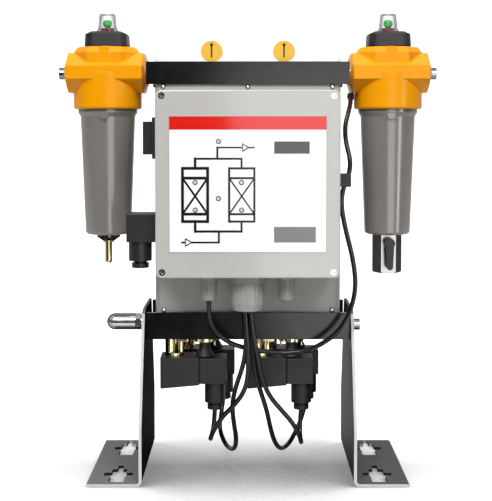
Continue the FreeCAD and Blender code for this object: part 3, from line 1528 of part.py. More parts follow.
ROUTES = {
    "rear_left_cord": (
        (-2.7, 18.8, 172.7), (-2.3, 18.9, 156), (-1.5, 19.5, 137), (-4.5, 22, 116), (-12, 27, 94),
        (-16, 34, 74), (-14.5, 42, 53), (-11.5, 51, 33), (-14, 66, 17), (-23, 86, 15), (-31, 102, 29),
        (-28.5, 106, 47), (-26.2, 106, 62.5),
    ),
    "front_left_cord": (
        (-2.7, 13.2, 172.7), (-1.2, 13.1, 153), (0.3, 13, 131), (0.5, 14.2, 109), (-3.2, 17.5, 91),
        (-13.5, 21.5, 76), (-26, 26, 63), (-35.5, 29.5, 46.5), (-38.5, 39, 36), (-37.5, 52.5, 35.5),
        (-35, 61.5, 45.5), (-34.2, 62, 62.5),
    ),
    "front_right_cord": (
        (2.7, 13.2, 172.7), (4.9, 13.4, 153), (8.6, 14.5, 133), (13, 18, 107), (20.8, 22.5, 86),
        (33.5, 26.5, 70), (45.5, 29, 56), (53, 32, 41), (54.8, 41.5, 31.5), (54, 54, 33),
        (54, 61.8, 45), (55.4, 62, 62.5),
    ),
    "rear_right_cord": (
        (2.7, 18.8, 172.7), (3.2, 19, 152), (4.6, 20.5, 130), (8, 24, 105), (13.8, 30, 85),
        (19.2, 37, 67), (23, 45, 47), (27.5, 55, 29), (34.5, 71, 16), (44.5, 90, 17), (54, 103, 31),
        (60.5, 106, 47), (63.4, 106, 62.5),
    ),
    "sensor_cord": (
        (-38.6, 16, 182.9), (-38.9, 16.5, 167), (-34.5, 21, 153), (-25, 27, 142), (-11.5, 30.5, 134),
        (11.5, 32, 128.5), (39.5, 31, 126.3), (61, 28, 130), (79, 24, 140), (92.5, 20.5, 153),
        (102.5, 17.5, 172), (107.5, 15.5, 197), (104, 15, 225), (96.3, 15.5, 254), (92.2, 16, 277),
        (93.8, 16, 293), (99.8, 16.5, 306), (101.8, 18.5, 321), (97.2, 25, 340), (97.3, 34, 356),
        (102.3, 47, 370.5), (105.6, 62, 379.6), (106.8, 75.5, 384.7),
    ),
}
ROUTE_FRONT = 67.5


def cords():
    """The four valve cords and the long sensor cord, with the gland that the long one ends in."""
    for label, route in ROUTES.items():
        cord(label, [(x, y - ROUTE_FRONT, z) for x, y, z in route])
    before, last = (Vector(*point) for point in ROUTES["sensor_cord"][-2:])
    turn = Rotation(Vector(0, 0, 1), last - before)
    end = last - Vector(0, ROUTE_FRONT, 0)
    low = PORT_HEIGHT - S.sensor_gland_drop
    sleeve = rod("sensor_gland_sleeve", end.x, end.y, low, S.sensor_gland_diameter, S.sensor_gland_length)
    place(sleeve, end.x, end.y, low, (tuple(turn.Axis), math.degrees(turn.Angle)))
    head_low = PORT_HEIGHT - S.head_height / 2
    above = brick("sensor_gland_top", end.x - S.sensor_gland_length, end.y - S.sensor_gland_length, head_low,
                  2 * S.sensor_gland_length, 3 * S.sensor_gland_length, S.sensor_gland_length)
    keep(without("sensor_gland_trimmed", sleeve, above), "sensor_gland")


def build():
    """Makes every sub-part."""
    leg(-1, "left_leg")
    leg(1, "right_leg")
    bars()
    frame_screws()
    column()
    upper_block()
    check_valve_plugs()
    lower_block()
    ports()
    enclosure()
    glands()
    side_fittings()
    for side, name in ((-1, "left"), (1, "right")):
        filter_head(side, name + "_filter_head")
        bowl(side, name + "_bowl")
        filter_element(side, name + "_filter_element")
        indicator(side, name)
    float_drain()
    drain_valve()
    valves()
    cords()


def write():
    """Checks every object and writes each finished sub-part to its own file."""
    doc.recompute()
    for thing in doc.Objects:
        bad = [word for word in ("Invalid", "Error") if word in thing.State]
        if bad:
            raise RuntimeError("%s (%s) is %s" % (thing.Name, thing.Label, bad))
    os.makedirs("parts", exist_ok=True)
    for thing in finished:
        shape = thing.Shape
        if shape.isNull() or not shape.isValid() or not shape.Solids:
            raise RuntimeError(thing.Label + " has no valid solid")
        shape.exportStep("parts/%s.step" % thing.Label)
    print("%d sub-parts" % len(finished))


build()
write()
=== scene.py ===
"""Dressed scene of a twin-chamber desiccant air dryer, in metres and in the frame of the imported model."""

import json
import logging
import math
from dataclasses import dataclass
from enum import Enum

import bmesh
import bpy
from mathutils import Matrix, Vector

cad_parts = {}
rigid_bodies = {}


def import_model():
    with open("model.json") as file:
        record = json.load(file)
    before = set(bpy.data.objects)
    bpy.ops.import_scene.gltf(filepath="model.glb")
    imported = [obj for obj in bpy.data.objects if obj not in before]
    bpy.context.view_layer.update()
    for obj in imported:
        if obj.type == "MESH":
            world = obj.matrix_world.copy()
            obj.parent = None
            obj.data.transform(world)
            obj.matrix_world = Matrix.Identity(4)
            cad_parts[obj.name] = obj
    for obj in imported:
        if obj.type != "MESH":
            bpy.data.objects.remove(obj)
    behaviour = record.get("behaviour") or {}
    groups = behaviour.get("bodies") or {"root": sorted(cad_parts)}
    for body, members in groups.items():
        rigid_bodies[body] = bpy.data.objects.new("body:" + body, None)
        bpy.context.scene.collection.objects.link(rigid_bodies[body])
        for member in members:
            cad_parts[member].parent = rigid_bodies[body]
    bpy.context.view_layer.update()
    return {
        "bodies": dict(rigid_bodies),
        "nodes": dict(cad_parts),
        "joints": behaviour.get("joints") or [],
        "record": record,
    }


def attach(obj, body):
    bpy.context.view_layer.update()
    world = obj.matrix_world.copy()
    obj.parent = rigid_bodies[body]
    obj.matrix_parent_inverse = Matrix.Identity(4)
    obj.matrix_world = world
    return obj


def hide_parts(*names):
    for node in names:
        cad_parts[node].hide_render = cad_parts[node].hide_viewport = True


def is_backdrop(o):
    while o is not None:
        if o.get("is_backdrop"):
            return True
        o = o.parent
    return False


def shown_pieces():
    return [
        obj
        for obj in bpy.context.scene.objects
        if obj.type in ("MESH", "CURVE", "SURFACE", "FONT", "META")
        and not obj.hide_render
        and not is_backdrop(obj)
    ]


LOG = logging.getLogger("dryer_scene")

Socket = bpy.types.NodeSocket

PER_METRE = 1000.0
CORD_DIAMETER = 0.0048
FOOT_FRONT = -0.0675
FOOT_TOP = 0.003
FOIL_FRONT = -0.0825
DRAIN_COLLAR = 0.2353
INDICATOR_SPLIT = 0.4584
WHITE = (1.0, 1.0, 1.0, 1.0)
BLACK = (0.0, 0.0, 0.0)


class Surface(Enum):
    """The families of finish. Metal and clear plastic are shaded in their own way."""

    PAINT = "paint"
    MOULDED = "moulded"
    METAL = "metal"
    RUBBER = "rubber"
    CLEAR = "clear"


class Side(Enum):
    """The side of a height on which a second colour lies, as a test on Z."""

    BELOW = "LESS_THAN"
    ABOVE = "GREATER_THAN"


@dataclass(frozen=True)
class Band:
    """A second colour that a finish takes on one side of a height.

    Attributes:
        side: Where it lies.
        height: Height at which it starts, in metres.
        colour: The second colour, linear.
    """

    side: Side
    height: float
    colour: tuple


@dataclass(frozen=True)
class Finish:
    """One material.

    Attributes:
        colour: Base colour, linear.
        surface: The family of finish.
        roughness: Mean roughness.
        grain: Scale of the fine bump, in waves for each metre.
        relief: Strength of the fine bump.
        tint: Share by which the colour varies over the surface.
        edge: Radius of the softened edge highlights, in metres.
        specular: Level of the plain reflection.
        edge_shade_blend: Blend of the painted shade seen edge on, standing for the dark surround that metal
            and clear plastic reflect.
        glow: Strength of the floor's own light, which lights nothing.
        band: A second colour on one side of a height, if there is one.
        foot_top_painted_light: Colour of the feet's upper faces, painted light or shade for how light falls
            on them, on the legs' sheets alone.
    """

    colour: tuple
    surface: Surface
    roughness: float = 0.5
    grain: float = 1500.0
    relief: float = 0.05
    tint: float = 0.06
    edge: float = 0.0004
    specular: float = 0.5
    edge_shade_blend: float = 0.4
    glow: float = 0.0
    band: Band | None = None
    foot_top_painted_light: tuple = ()


FINISHES = {
    "black_sheet": Finish(
        (0.003, 0.003, 0.0035), Surface.PAINT, 0.17, 1400, 0.01, 0.1, edge=0.0005, specular=0.42),
    # The legs' sheets are lit and shaded copies of the black sheet: the left foot's upper faces get painted
    # light and the right foot's painted shade, and the right leg gets more painted sheen.
    "left_leg_sheet_painted_light": Finish(
        (0.003, 0.003, 0.0035), Surface.PAINT, 0.5, 1400, 0.04, 0.2, specular=0.001,
        foot_top_painted_light=(0.2, 0.2, 0.2)),
    "right_leg_sheet_painted_light": Finish(
        (0.003, 0.003, 0.0035), Surface.PAINT, 0.5, 1400, 0.04, 0.2, specular=0.14,
        foot_top_painted_light=(0.07, 0.07, 0.07)),
    "bright_steel": Finish((0.66, 0.66, 0.65), Surface.METAL, 0.13, 1200, 0.015, 0.05, edge_shade_blend=0.74),
    # A darker copy of bright steel: painted shade, standing for the dark surround that the chrome nipples,
    # valve body and stub reflect.
    "steel_painted_dark": Finish((0.3, 0.3, 0.295), Surface.METAL, 0.2, 1200, 0.015, 0.05),
    # The column's colour is darkened: painted shade, standing for the enclosure's shadow on it.
    "column_paint": Finish((0.4, 0.395, 0.37), Surface.PAINT, 0.45, 1800, 0.03, 0.03, specular=0.3),
    # The aluminium block is drawn as near-white matte paint: painted light, standing for how brightly it is
    # lit.
    "bare_aluminium": Finish((0.97, 0.97, 0.97), Surface.PAINT, 0.42, 900, 0.03, 0.02),
    "gold_anodised": Finish((0.84, 0.5, 0.06), Surface.PAINT, 0.32, 1200, 0.02, 0.05, specular=0.15),
    "box_plastic": Finish((0.5, 0.492, 0.455), Surface.MOULDED, 0.1, 2600, 0.012, 0.03, edge=0.0006),
    "lid_screw_steel": Finish((0.42, 0.42, 0.42), Surface.METAL, 0.09, 1600, 0.01, 0.05),
    "foil_print": Finish((0.95, 0.955, 0.965), Surface.MOULDED, 0.1, 3200, 0.004, 0.01),
    "board_green": Finish((0.02, 0.16, 0.06), Surface.MOULDED, 0.35, 900, 0.05, 0.15),
    "gland_grey": Finish((0.3, 0.3, 0.287), Surface.MOULDED, 0.45, 2400, 0.05, 0.04, specular=0.35),
    "black_plastic": Finish(
        (0.012, 0.012, 0.0125), Surface.MOULDED, 0.42, 2200, 0.06, 0.12, specular=0.35),
    "coil_plastic": Finish(
        (0.016, 0.016, 0.0165), Surface.MOULDED, 0.46, 2000, 0.08, 0.12, edge=0.0008, specular=0.3),
    "orange_paint": Finish(
        (0.87, 0.34, 0.0), Surface.PAINT, 0.27, 700, 0.03, 0.05, edge=0.0016, specular=0.18),
    "bowl_paint": Finish(
        (0.2, 0.184, 0.166), Surface.PAINT, 0.2, 800, 0.02, 0.06, edge=0.0008, specular=0.75),
    "clear_dome": Finish((0.95, 0.97, 0.96), Surface.CLEAR, 0.05, 400, 0.01, 0.0, edge_shade_blend=0.72),
    "indicator_green": Finish(
        (0.02, 0.42, 0.09), Surface.MOULDED, 0.35, 1500, 0.03, 0.05,
        band=Band(Side.BELOW, INDICATOR_SPLIT, (0.22, 0.012, 0.01))),
    "filter_felt": Finish((0.8, 0.79, 0.75), Surface.RUBBER, 0.9, 1500, 0.3, 0.08),
    "desiccant": Finish((0.8, 0.78, 0.72), Surface.RUBBER, 0.8, 350, 0.8, 0.15),
    "spring_steel": Finish((0.5, 0.5, 0.5), Surface.METAL, 0.3, 900, 0.03, 0.1),
    "float_plastic": Finish((0.75, 0.75, 0.72), Surface.MOULDED, 0.5, 2000, 0.05, 0.05),
    "brass": Finish((0.9, 0.79, 0.47), Surface.METAL, 0.16, 1100, 0.02, 0.08),
    "drain_brass": Finish(
        (0.72, 0.62, 0.34), Surface.METAL, 0.18, 1100, 0.02, 0.08,
        band=Band(Side.ABOVE, DRAIN_COLLAR, (0.1, 0.098, 0.095))),
    "cord_sheath": Finish((0.003, 0.003, 0.0035), Surface.RUBBER, 0.2, 1800, 0.03, 0.15, specular=0.4),
    "print_dark": Finish((0.004, 0.004, 0.005), Surface.MOULDED, 0.16, 2600, 0.004, 0.05),
    "print_grey": Finish((0.16, 0.16, 0.165), Surface.MOULDED, 0.16, 2600, 0.004, 0.04),
    "print_red": Finish((0.74, 0.014, 0.01), Surface.MOULDED, 0.09, 2600, 0.002, 0.03),
    "print_edge": Finish((0.3, 0.3, 0.3), Surface.MOULDED, 0.3, 2600, 0.004, 0.05),
    # Painted shade for the bottoms of the plugs' slots and their dimples.
    "slot_painted_shade": Finish((0.015, 0.012, 0.008), Surface.MOULDED, 0.5, 1800, 0.03, 0.1),
    "display_grey": Finish((0.045, 0.046, 0.045), Surface.MOULDED, 0.16, 2600, 0.004, 0.04),
    "lamp_lens": Finish((0.62, 0.64, 0.62), Surface.MOULDED, 0.16, 2600, 0.004, 0.04),
    "floor": Finish((0.82, 0.82, 0.82), Surface.MOULDED, 0.9, 60, 0.0, 0.01, glow=1.0),
}


class Graph:
    """Adds the few kinds of node that the materials and the surround are made of."""

    MIX_FIRST = 6
    MIX_SECOND = 7
    MIX_RESULT = 2

    def __init__(self, tree: bpy.types.NodeTree) -> None:
        """Keeps the tree that the nodes go into."""
        self._tree = tree

    def node(self, kind: str) -> bpy.types.Node:
        """Adds one node of a kind."""
        return self._tree.nodes.new(kind)

    def feed(self, socket: Socket, given: object) -> None:
        """Sets an input.

        Args:
            socket: The input.
            given: Another node's output, which is linked to it, or a plain value.
        """
        if isinstance(given, Socket):
            self._tree.links.new(given, socket)
        else:
            socket.default_value = given

    def math(self, operation: str, *given: object) -> Socket:
        """Adds a sum or a test.

        Args:
            operation: What it does, in the words of the Math node.
            *given: Outputs or numbers, one or two.

        Returns:
            Its result.
        """
        node = self.node("ShaderNodeMath")
        node.operation = operation
        for socket, part in zip(node.inputs, given):
            self.feed(socket, part)
        return node.outputs["Value"]

    def split(self, vector: Socket) -> dict:
        """Takes a vector apart.

        Args:
            vector: The vector.

        Returns:
            Its three parts, by the names of the axes.
        """
        node = self.node("ShaderNodeSeparateXYZ")
        self.feed(node.inputs["Vector"], vector)
        return {axis: node.outputs[axis] for axis in "XYZ"}

    def ramp(self, value: Socket, source: tuple, result: tuple) -> Socket:
        """Maps a value from one range to another, held at its ends.

        Args:
            value: The value.
            source: The range that it comes from.
            result: The range that it goes to.

        Returns:
            The mapped value.
        """
        node = self.node("ShaderNodeMapRange")
        self.feed(node.inputs["Value"], value)
        node.inputs["From Min"].default_value, node.inputs["From Max"].default_value = source
        node.inputs["To Min"].default_value, node.inputs["To Max"].default_value = result
        return node.outputs["Result"]

    def mix(self, factor: Socket, first: Socket | tuple, second: Socket | tuple) -> Socket:
        """Mixes two colours.

        Args:
            factor: Share of the second.
            first: The first colour, as an output or three numbers.
            second: The second colour, likewise.

        Returns:
            The mixed colour.
        """
        node = self.node("ShaderNodeMix")
        node.data_type = "RGBA"
        self.feed(node.inputs["Factor"], factor)
        for number, colour in ((self.MIX_FIRST, first), (self.MIX_SECOND, second)):
            self.feed(node.inputs[number], (*colour, 1.0) if isinstance(colour, tuple) else colour)
        return node.outputs[self.MIX_RESULT]

    def noise(self, place: Socket, scale: float, detail: float) -> Socket:
        """Adds a noise.

        Args:
            place: The coordinates that it reads.
            scale: Its waves for each metre.
            detail: Its finer layers.

        Returns:
            A factor from 0 to 1.
        """
        node = self.node("ShaderNodeTexNoise")
        self.feed(node.inputs["Vector"], place)
        self.feed(node.inputs["Scale"], scale)
        self.feed(node.inputs["Detail"], detail)
        return node.outputs["Fac"]


class MaterialMaker:
    """Builds each material once and hands it out again."""

    BROAD_SHARE = 18
    BROAD_DETAIL = 3.0
    FINE_DETAIL = 2.0
    ROUGHNESS_SPREAD = 0.06
    LEAST_ROUGHNESS = 0.02
    BUMP_DISTANCE = 0.0004
    BEVEL_SAMPLES = 4

    # Painted shade seen edge on: the share of a metal's colour that it keeps there, and the clear dome's
    # colour there.
    METAL_EDGE_SHADE = 0.04
    METAL_TINT = (0.2, 0.2, 0.2, 1.0)
    CLEAR_EDGE_SHADE = (0.03, 0.035, 0.035)
    CLEAR_INDEX = 1.35

    # Pale cut edges of the legs, partly bare steel and partly painted highlight, and painted shade on the
    # walls of the feet's slots.
    CUT_EDGE_HIGHLIGHT = (0.62, 0.62, 0.63)
    SLOT_WALL_SHADE = (0.02, 0.02, 0.02)
    SLOT_REACH = 0.06
    FACING = 0.8
    FACE_MARGIN = 0.00004

    MIRROR_SHARE = 0.35
    NEAR_SHARE = 0.2
    NEAR_FLOOR = (0.0, 0.16)
    # Painted shadow on the floor under the object, read from ambient occlusion.
    SHADOW_DISTANCE = 0.2
    SHADOW_SAMPLES = 8
    SHADOW_OPEN = (0.5, 0.76)
    SHADOW_SHARE = (0.1, 1.0)

    def __init__(self) -> None:
        """Starts with no material made."""
        self._made: dict[str, bpy.types.Material] = {}

    def get(self, name: str) -> bpy.types.Material:
        """Gives the material of a finish.

        Args:
            name: A key of FINISHES.

        Returns:
            The material.
        """
        if name not in self._made:
            self._made[name] = self._build(name, FINISHES[name])
        return self._made[name]

    def _build(self, name: str, finish: Finish) -> bpy.types.Material:
        """Makes the node tree of one finish.

        Args:
            name: Name of the material.
            finish: What it looks like.

        Returns:
            The material.
        """
        material = bpy.data.materials.new(name)
        material.use_nodes = True
        graph = Graph(material.node_tree)
        shader = material.node_tree.nodes["Principled BSDF"].inputs
        place = graph.node("ShaderNodeTexCoord").outputs["Object"]
        broad = graph.noise(place, finish.grain / self.BROAD_SHARE, self.BROAD_DETAIL)

        graph.feed(shader["Base Color"], self._colour(graph, finish, place, broad))
        least = max(finish.roughness - self.ROUGHNESS_SPREAD, self.LEAST_ROUGHNESS)
        most = min(finish.roughness + self.ROUGHNESS_SPREAD, 1.0)
        graph.feed(shader["Roughness"], graph.ramp(broad, (0.0, 1.0), (least, most)))
        graph.feed(shader["Normal"], self._normal(graph, finish, place))
        shader["Specular IOR Level"].default_value = finish.specular
        if finish.surface is Surface.METAL:
            shader["Metallic"].default_value = 1.0
            shader["Specular Tint"].default_value = self.METAL_TINT
        if finish.surface is Surface.CLEAR:
            shader["Transmission Weight"].default_value = 1.0
            shader["IOR"].default_value = self.CLEAR_INDEX
        if finish.glow:
            shader["Emission Color"].default_value = WHITE
            graph.feed(shader["Emission Strength"], self._seen(graph, finish, place))
        return material

    def _colour(self, graph: Graph, finish: Finish, place: Socket, broad: Socket) -> Socket:
        """Makes a finish's colour, which drifts a little between two shades of itself, with the painted light
        and shade that some finishes ask for.

        Args:
            graph: Where the nodes go.
            finish: The finish.
            place: Object coordinates.
            broad: The noise that the colour drifts with.

        Returns:
            The colour.
        """
        darker, lighter = (tuple(min(part * share, 1.0) for part in finish.colour)
                           for share in (1.0 - finish.tint, 1.0 + finish.tint))
        colour = graph.mix(broad, darker, lighter)
        if finish.band:
            inside = graph.math(finish.band.side.value, graph.split(place)["Z"], finish.band.height)
            colour = graph.mix(inside, colour, finish.band.colour)
        # Painted light and shade on the legs' sheets.
        if finish.foot_top_painted_light:
            colour = self._sheet_light_and_shade(graph, finish, place, colour)
        # Painted shade where metal and the clear dome are seen edge on.
        if finish.surface is Surface.METAL:
            edge_on_shade = tuple(self.METAL_EDGE_SHADE * part for part in finish.colour)
            colour = self._painted_edge_shade(graph, finish, colour, edge_on_shade)
        if finish.surface is Surface.CLEAR:
            colour = self._painted_edge_shade(graph, finish, colour, self.CLEAR_EDGE_SHADE)
        # Painted shadow on the floor under the object.
        if finish.glow:
            colour = self._painted_floor_shadow(graph, colour)
        return colour

    def _normal(self, graph: Graph, finish: Finish, place: Socket) -> Socket:
        """Makes the fine bump over softened edges, which clear plastic goes without.

        Args:
            graph: Where the nodes go.
            finish: The finish.
            place: Object coordinates.

        Returns:
            The normal.
        """
        bump = graph.node("ShaderNodeBump")
        graph.feed(bump.inputs["Height"], graph.noise(place, finish.grain, self.FINE_DETAIL))
        bump.inputs["Strength"].default_value = finish.relief
        bump.inputs["Distance"].default_value = self.BUMP_DISTANCE
        if finish.surface is not Surface.CLEAR:
            bevel = graph.node("ShaderNodeBevel")
            bevel.samples = self.BEVEL_SAMPLES
            bevel.inputs["Radius"].default_value = finish.edge
            graph.feed(bump.inputs["Normal"], bevel.outputs["Normal"])
        return bump.outputs["Normal"]

    @staticmethod
    def _painted_edge_shade(graph: Graph, finish: Finish, colour: Socket, edge_on_shade: tuple) -> Socket:
        """Darkens a colour where the surface is seen edge on: painted shade, standing for the dark surround
        that a clear wall or a bright metal reflects.

        Args:
            graph: Where the nodes go.
            finish: The finish.
            colour: Its colour seen square on.
            edge_on_shade: Its painted shade seen edge on.

        Returns:
            The colour.
        """
        weight = graph.node("ShaderNodeLayerWeight")
        weight.inputs["Blend"].default_value = finish.edge_shade_blend
        return graph.mix(weight.outputs["Facing"], colour, edge_on_shade)

    def _sheet_light_and_shade(self, graph: Graph, finish: Finish, place: Socket, colour: Socket) -> Socket:
        """Paints a leg's sheet: pale cut edges, partly bare steel and partly painted highlight, the foot's
        upper faces in their painted light or shade, and painted shade on the walls in the slots.

        The slots' walls lie below the foot's upper face and away from its front and back edges.

        Args:
            graph: Where the nodes go.
            finish: The finish.
            place: Object coordinates.
            colour: The sheet's colour.

        Returns:
            The colour.
        """
        normal = graph.split(graph.node("ShaderNodeTexCoord").outputs["Normal"])
        for axis, other in (("Y", self.CUT_EDGE_HIGHLIGHT), ("Z", finish.foot_top_painted_light)):
            facing = graph.math("GREATER_THAN", graph.math("ABSOLUTE", normal[axis]), self.FACING)
            colour = graph.mix(facing, colour, other)
        # Painted shade on the slots' walls, below the foot's upper face and between its front and back edges.
        spot = graph.split(place)
        inside = graph.math("LESS_THAN", graph.math("ABSOLUTE", spot["Y"]), self.SLOT_REACH)
        low = graph.math("LESS_THAN", spot["Z"], FOOT_TOP - self.FACE_MARGIN)
        return graph.mix(graph.math("MULTIPLY", inside, low), colour, self.SLOT_WALL_SHADE)

    def _seen(self, graph: Graph, finish: Finish, place: Socket) -> Socket:
        """Makes the backdrop's own light: all of it for the camera, less for mirrors and on the near floor.

        Args:
            graph: Where the nodes go.
            finish: The floor's finish.
            place: Object coordinates.

        Returns:
            The strength of the light.
        """
        rays = graph.node("ShaderNodeLightPath").outputs
        mirrored = graph.math("MULTIPLY", rays["Is Glossy Ray"], self.MIRROR_SHARE)
        shown = graph.math("MAXIMUM", rays["Is Camera Ray"], mirrored)
        total = graph.math("MAXIMUM", shown, rays["Is Transmission Ray"])
        strengths = (self.NEAR_SHARE * finish.glow, finish.glow)
        return graph.math("MULTIPLY", total, graph.ramp(graph.split(place)["Y"], self.NEAR_FLOOR, strengths))

    def _painted_floor_shadow(self, graph: Graph, colour: Socket) -> Socket:
        """Paints shadow on the floor: deepens its colour under the object, where little of the surround is
        seen.

        Args:
            graph: Where the nodes go.
            colour: The floor's colour in the open.

        Returns:
            The colour.
        """
        occlusion = graph.node("ShaderNodeAmbientOcclusion")
        occlusion.samples = self.SHADOW_SAMPLES
        occlusion.inputs["Distance"].default_value = self.SHADOW_DISTANCE
        share = graph.ramp(occlusion.outputs["AO"], self.SHADOW_OPEN, self.SHADOW_SHARE)
        return graph.mix(share, BLACK, colour)


@dataclass(frozen=True)
class Route:
    """A cord's course.

    Attributes:
        length: Its real length, in metres.
        points: Control points in millimetres: x, distance behind the feet's front edge, and z.
    """

    length: float
    points: tuple

    def metres(self) -> list:
        """The points in metres, in the frame of the model."""
        return [Vector((x / PER_METRE, y / PER_METRE + FOOT_FRONT, z / PER_METRE)) for x, y, z in self.points]


ROUTES = {
    "rear_left_cord": Route(0.2448, (
        (-2.7, 18.8, 172.7), (-2.3, 18.9, 156), (-1.5, 19.5, 137), (-4.5, 22, 116), (-12, 27, 94),
        (-16, 34, 74), (-14.5, 42, 53), (-11.5, 51, 33), (-14, 66, 17), (-23, 86, 15), (-31, 102, 29),
        (-28.5, 106, 47), (-26.2, 106, 62.5),
    )),
    "front_left_cord": Route(0.1950, (
        (-2.7, 13.2, 172.7), (-1.2, 13.1, 153), (0.3, 13, 131), (0.5, 14.2, 109), (-3.2, 17.5, 91),
        (-13.5, 21.5, 76), (-26, 26, 63), (-35.5, 29.5, 46.5), (-38.5, 39, 36), (-37.5, 52.5, 35.5),
        (-35, 61.5, 45.5), (-34.2, 62, 62.5),
    )),
    "front_right_cord": Route(0.2015, (
        (2.7, 13.2, 172.7), (4.9, 13.4, 153), (8.6, 14.5, 133), (13, 18, 107), (20.8, 22.5, 86),
        (33.5, 26.5, 70), (45.5, 29, 56), (53, 32, 41), (54.8, 41.5, 31.5), (54, 54, 33),
        (54, 61.8, 45), (55.4, 62, 62.5),
    )),
    "rear_right_cord": Route(0.2485, (
        (2.7, 18.8, 172.7), (3.2, 19, 152), (4.6, 20.5, 130), (8, 24, 105), (13.8, 30, 85),
        (19.2, 37, 67), (23, 45, 47), (27.5, 55, 29), (34.5, 71, 16), (44.5, 90, 17), (54, 103, 31),
        (60.5, 106, 47), (63.4, 106, 62.5),
    )),
    "sensor_cord": Route(0.4403, (
        (-38.6, 16, 182.9), (-38.9, 16.5, 167), (-34.5, 21, 153), (-25, 27, 142), (-11.5, 30.5, 134),
        (11.5, 32, 128.5), (39.5, 31, 126.3), (61, 28, 130), (79, 24, 140), (92.5, 20.5, 153),
        (102.5, 17.5, 172), (107.5, 15.5, 197), (104, 15, 225), (96.3, 15.5, 254), (92.2, 16, 277),
        (93.8, 16, 293), (99.8, 16.5, 306), (101.8, 18.5, 321), (97.2, 25, 340), (97.3, 34, 356),
        (102.3, 47, 370.5), (105.6, 62, 379.6), (106.8, 75.5, 384.7),
    )),
}


def new_object(name: str, mesh: bpy.types.Mesh, material: bpy.types.Material) -> bpy.types.Object:
    """Links a mesh into the scene with one material.

    Args:
        name: Name of the piece.
        mesh: Its mesh.
        material: Its only material.

    Returns:
        The new object.
    """
    piece = bpy.data.objects.new(name, mesh)
    bpy.context.scene.collection.objects.link(piece)
    mesh.materials.clear()
    mesh.materials.append(material)
    return piece


def smooth(mesh: bpy.types.Mesh, degrees: float) -> None:
    """Shades a mesh smoothly.

    Args:
        mesh: The mesh.
        degrees: The angle between faces past which an edge stays sharp.
    """
    mesh.shade_smooth()
    mesh.set_sharp_from_angle(angle=math.radians(degrees))


@dataclass(frozen=True)
class Lamp:
    """One area light.

    Attributes:
        name: Its name.
        place: Its place, in metres.
        size: Its width and height, in metres.
        power: Its power, in watts.
        lights: True if it lights the object, False if it is seen in mirrors alone.
        tilt: Its turn about its own axis, in degrees.
    """

    name: str
    place: tuple
    size: tuple
    power: float
    lights: bool = True
    tilt: float = 0.0


LAMPS = (
    Lamp("key", (-0.38, -1.3, 1.4), (0.6, 0.6), 19.5),
    Lamp("fill", (0.5, -1.25, 1.2), (0.6, 0.6), 9.0),
    Lamp("top", (0.0, -0.05, 1.8), (0.6, 0.6), 8.0),
    Lamp("panel", (0.44, -1.55, 0.05), (0.86, 1.2), 9.1, lights=False, tilt=11.0),
    Lamp("right_strip", (1.35, -1.1, 0.3), (0.3, 0.9), 6.0, lights=False),
)


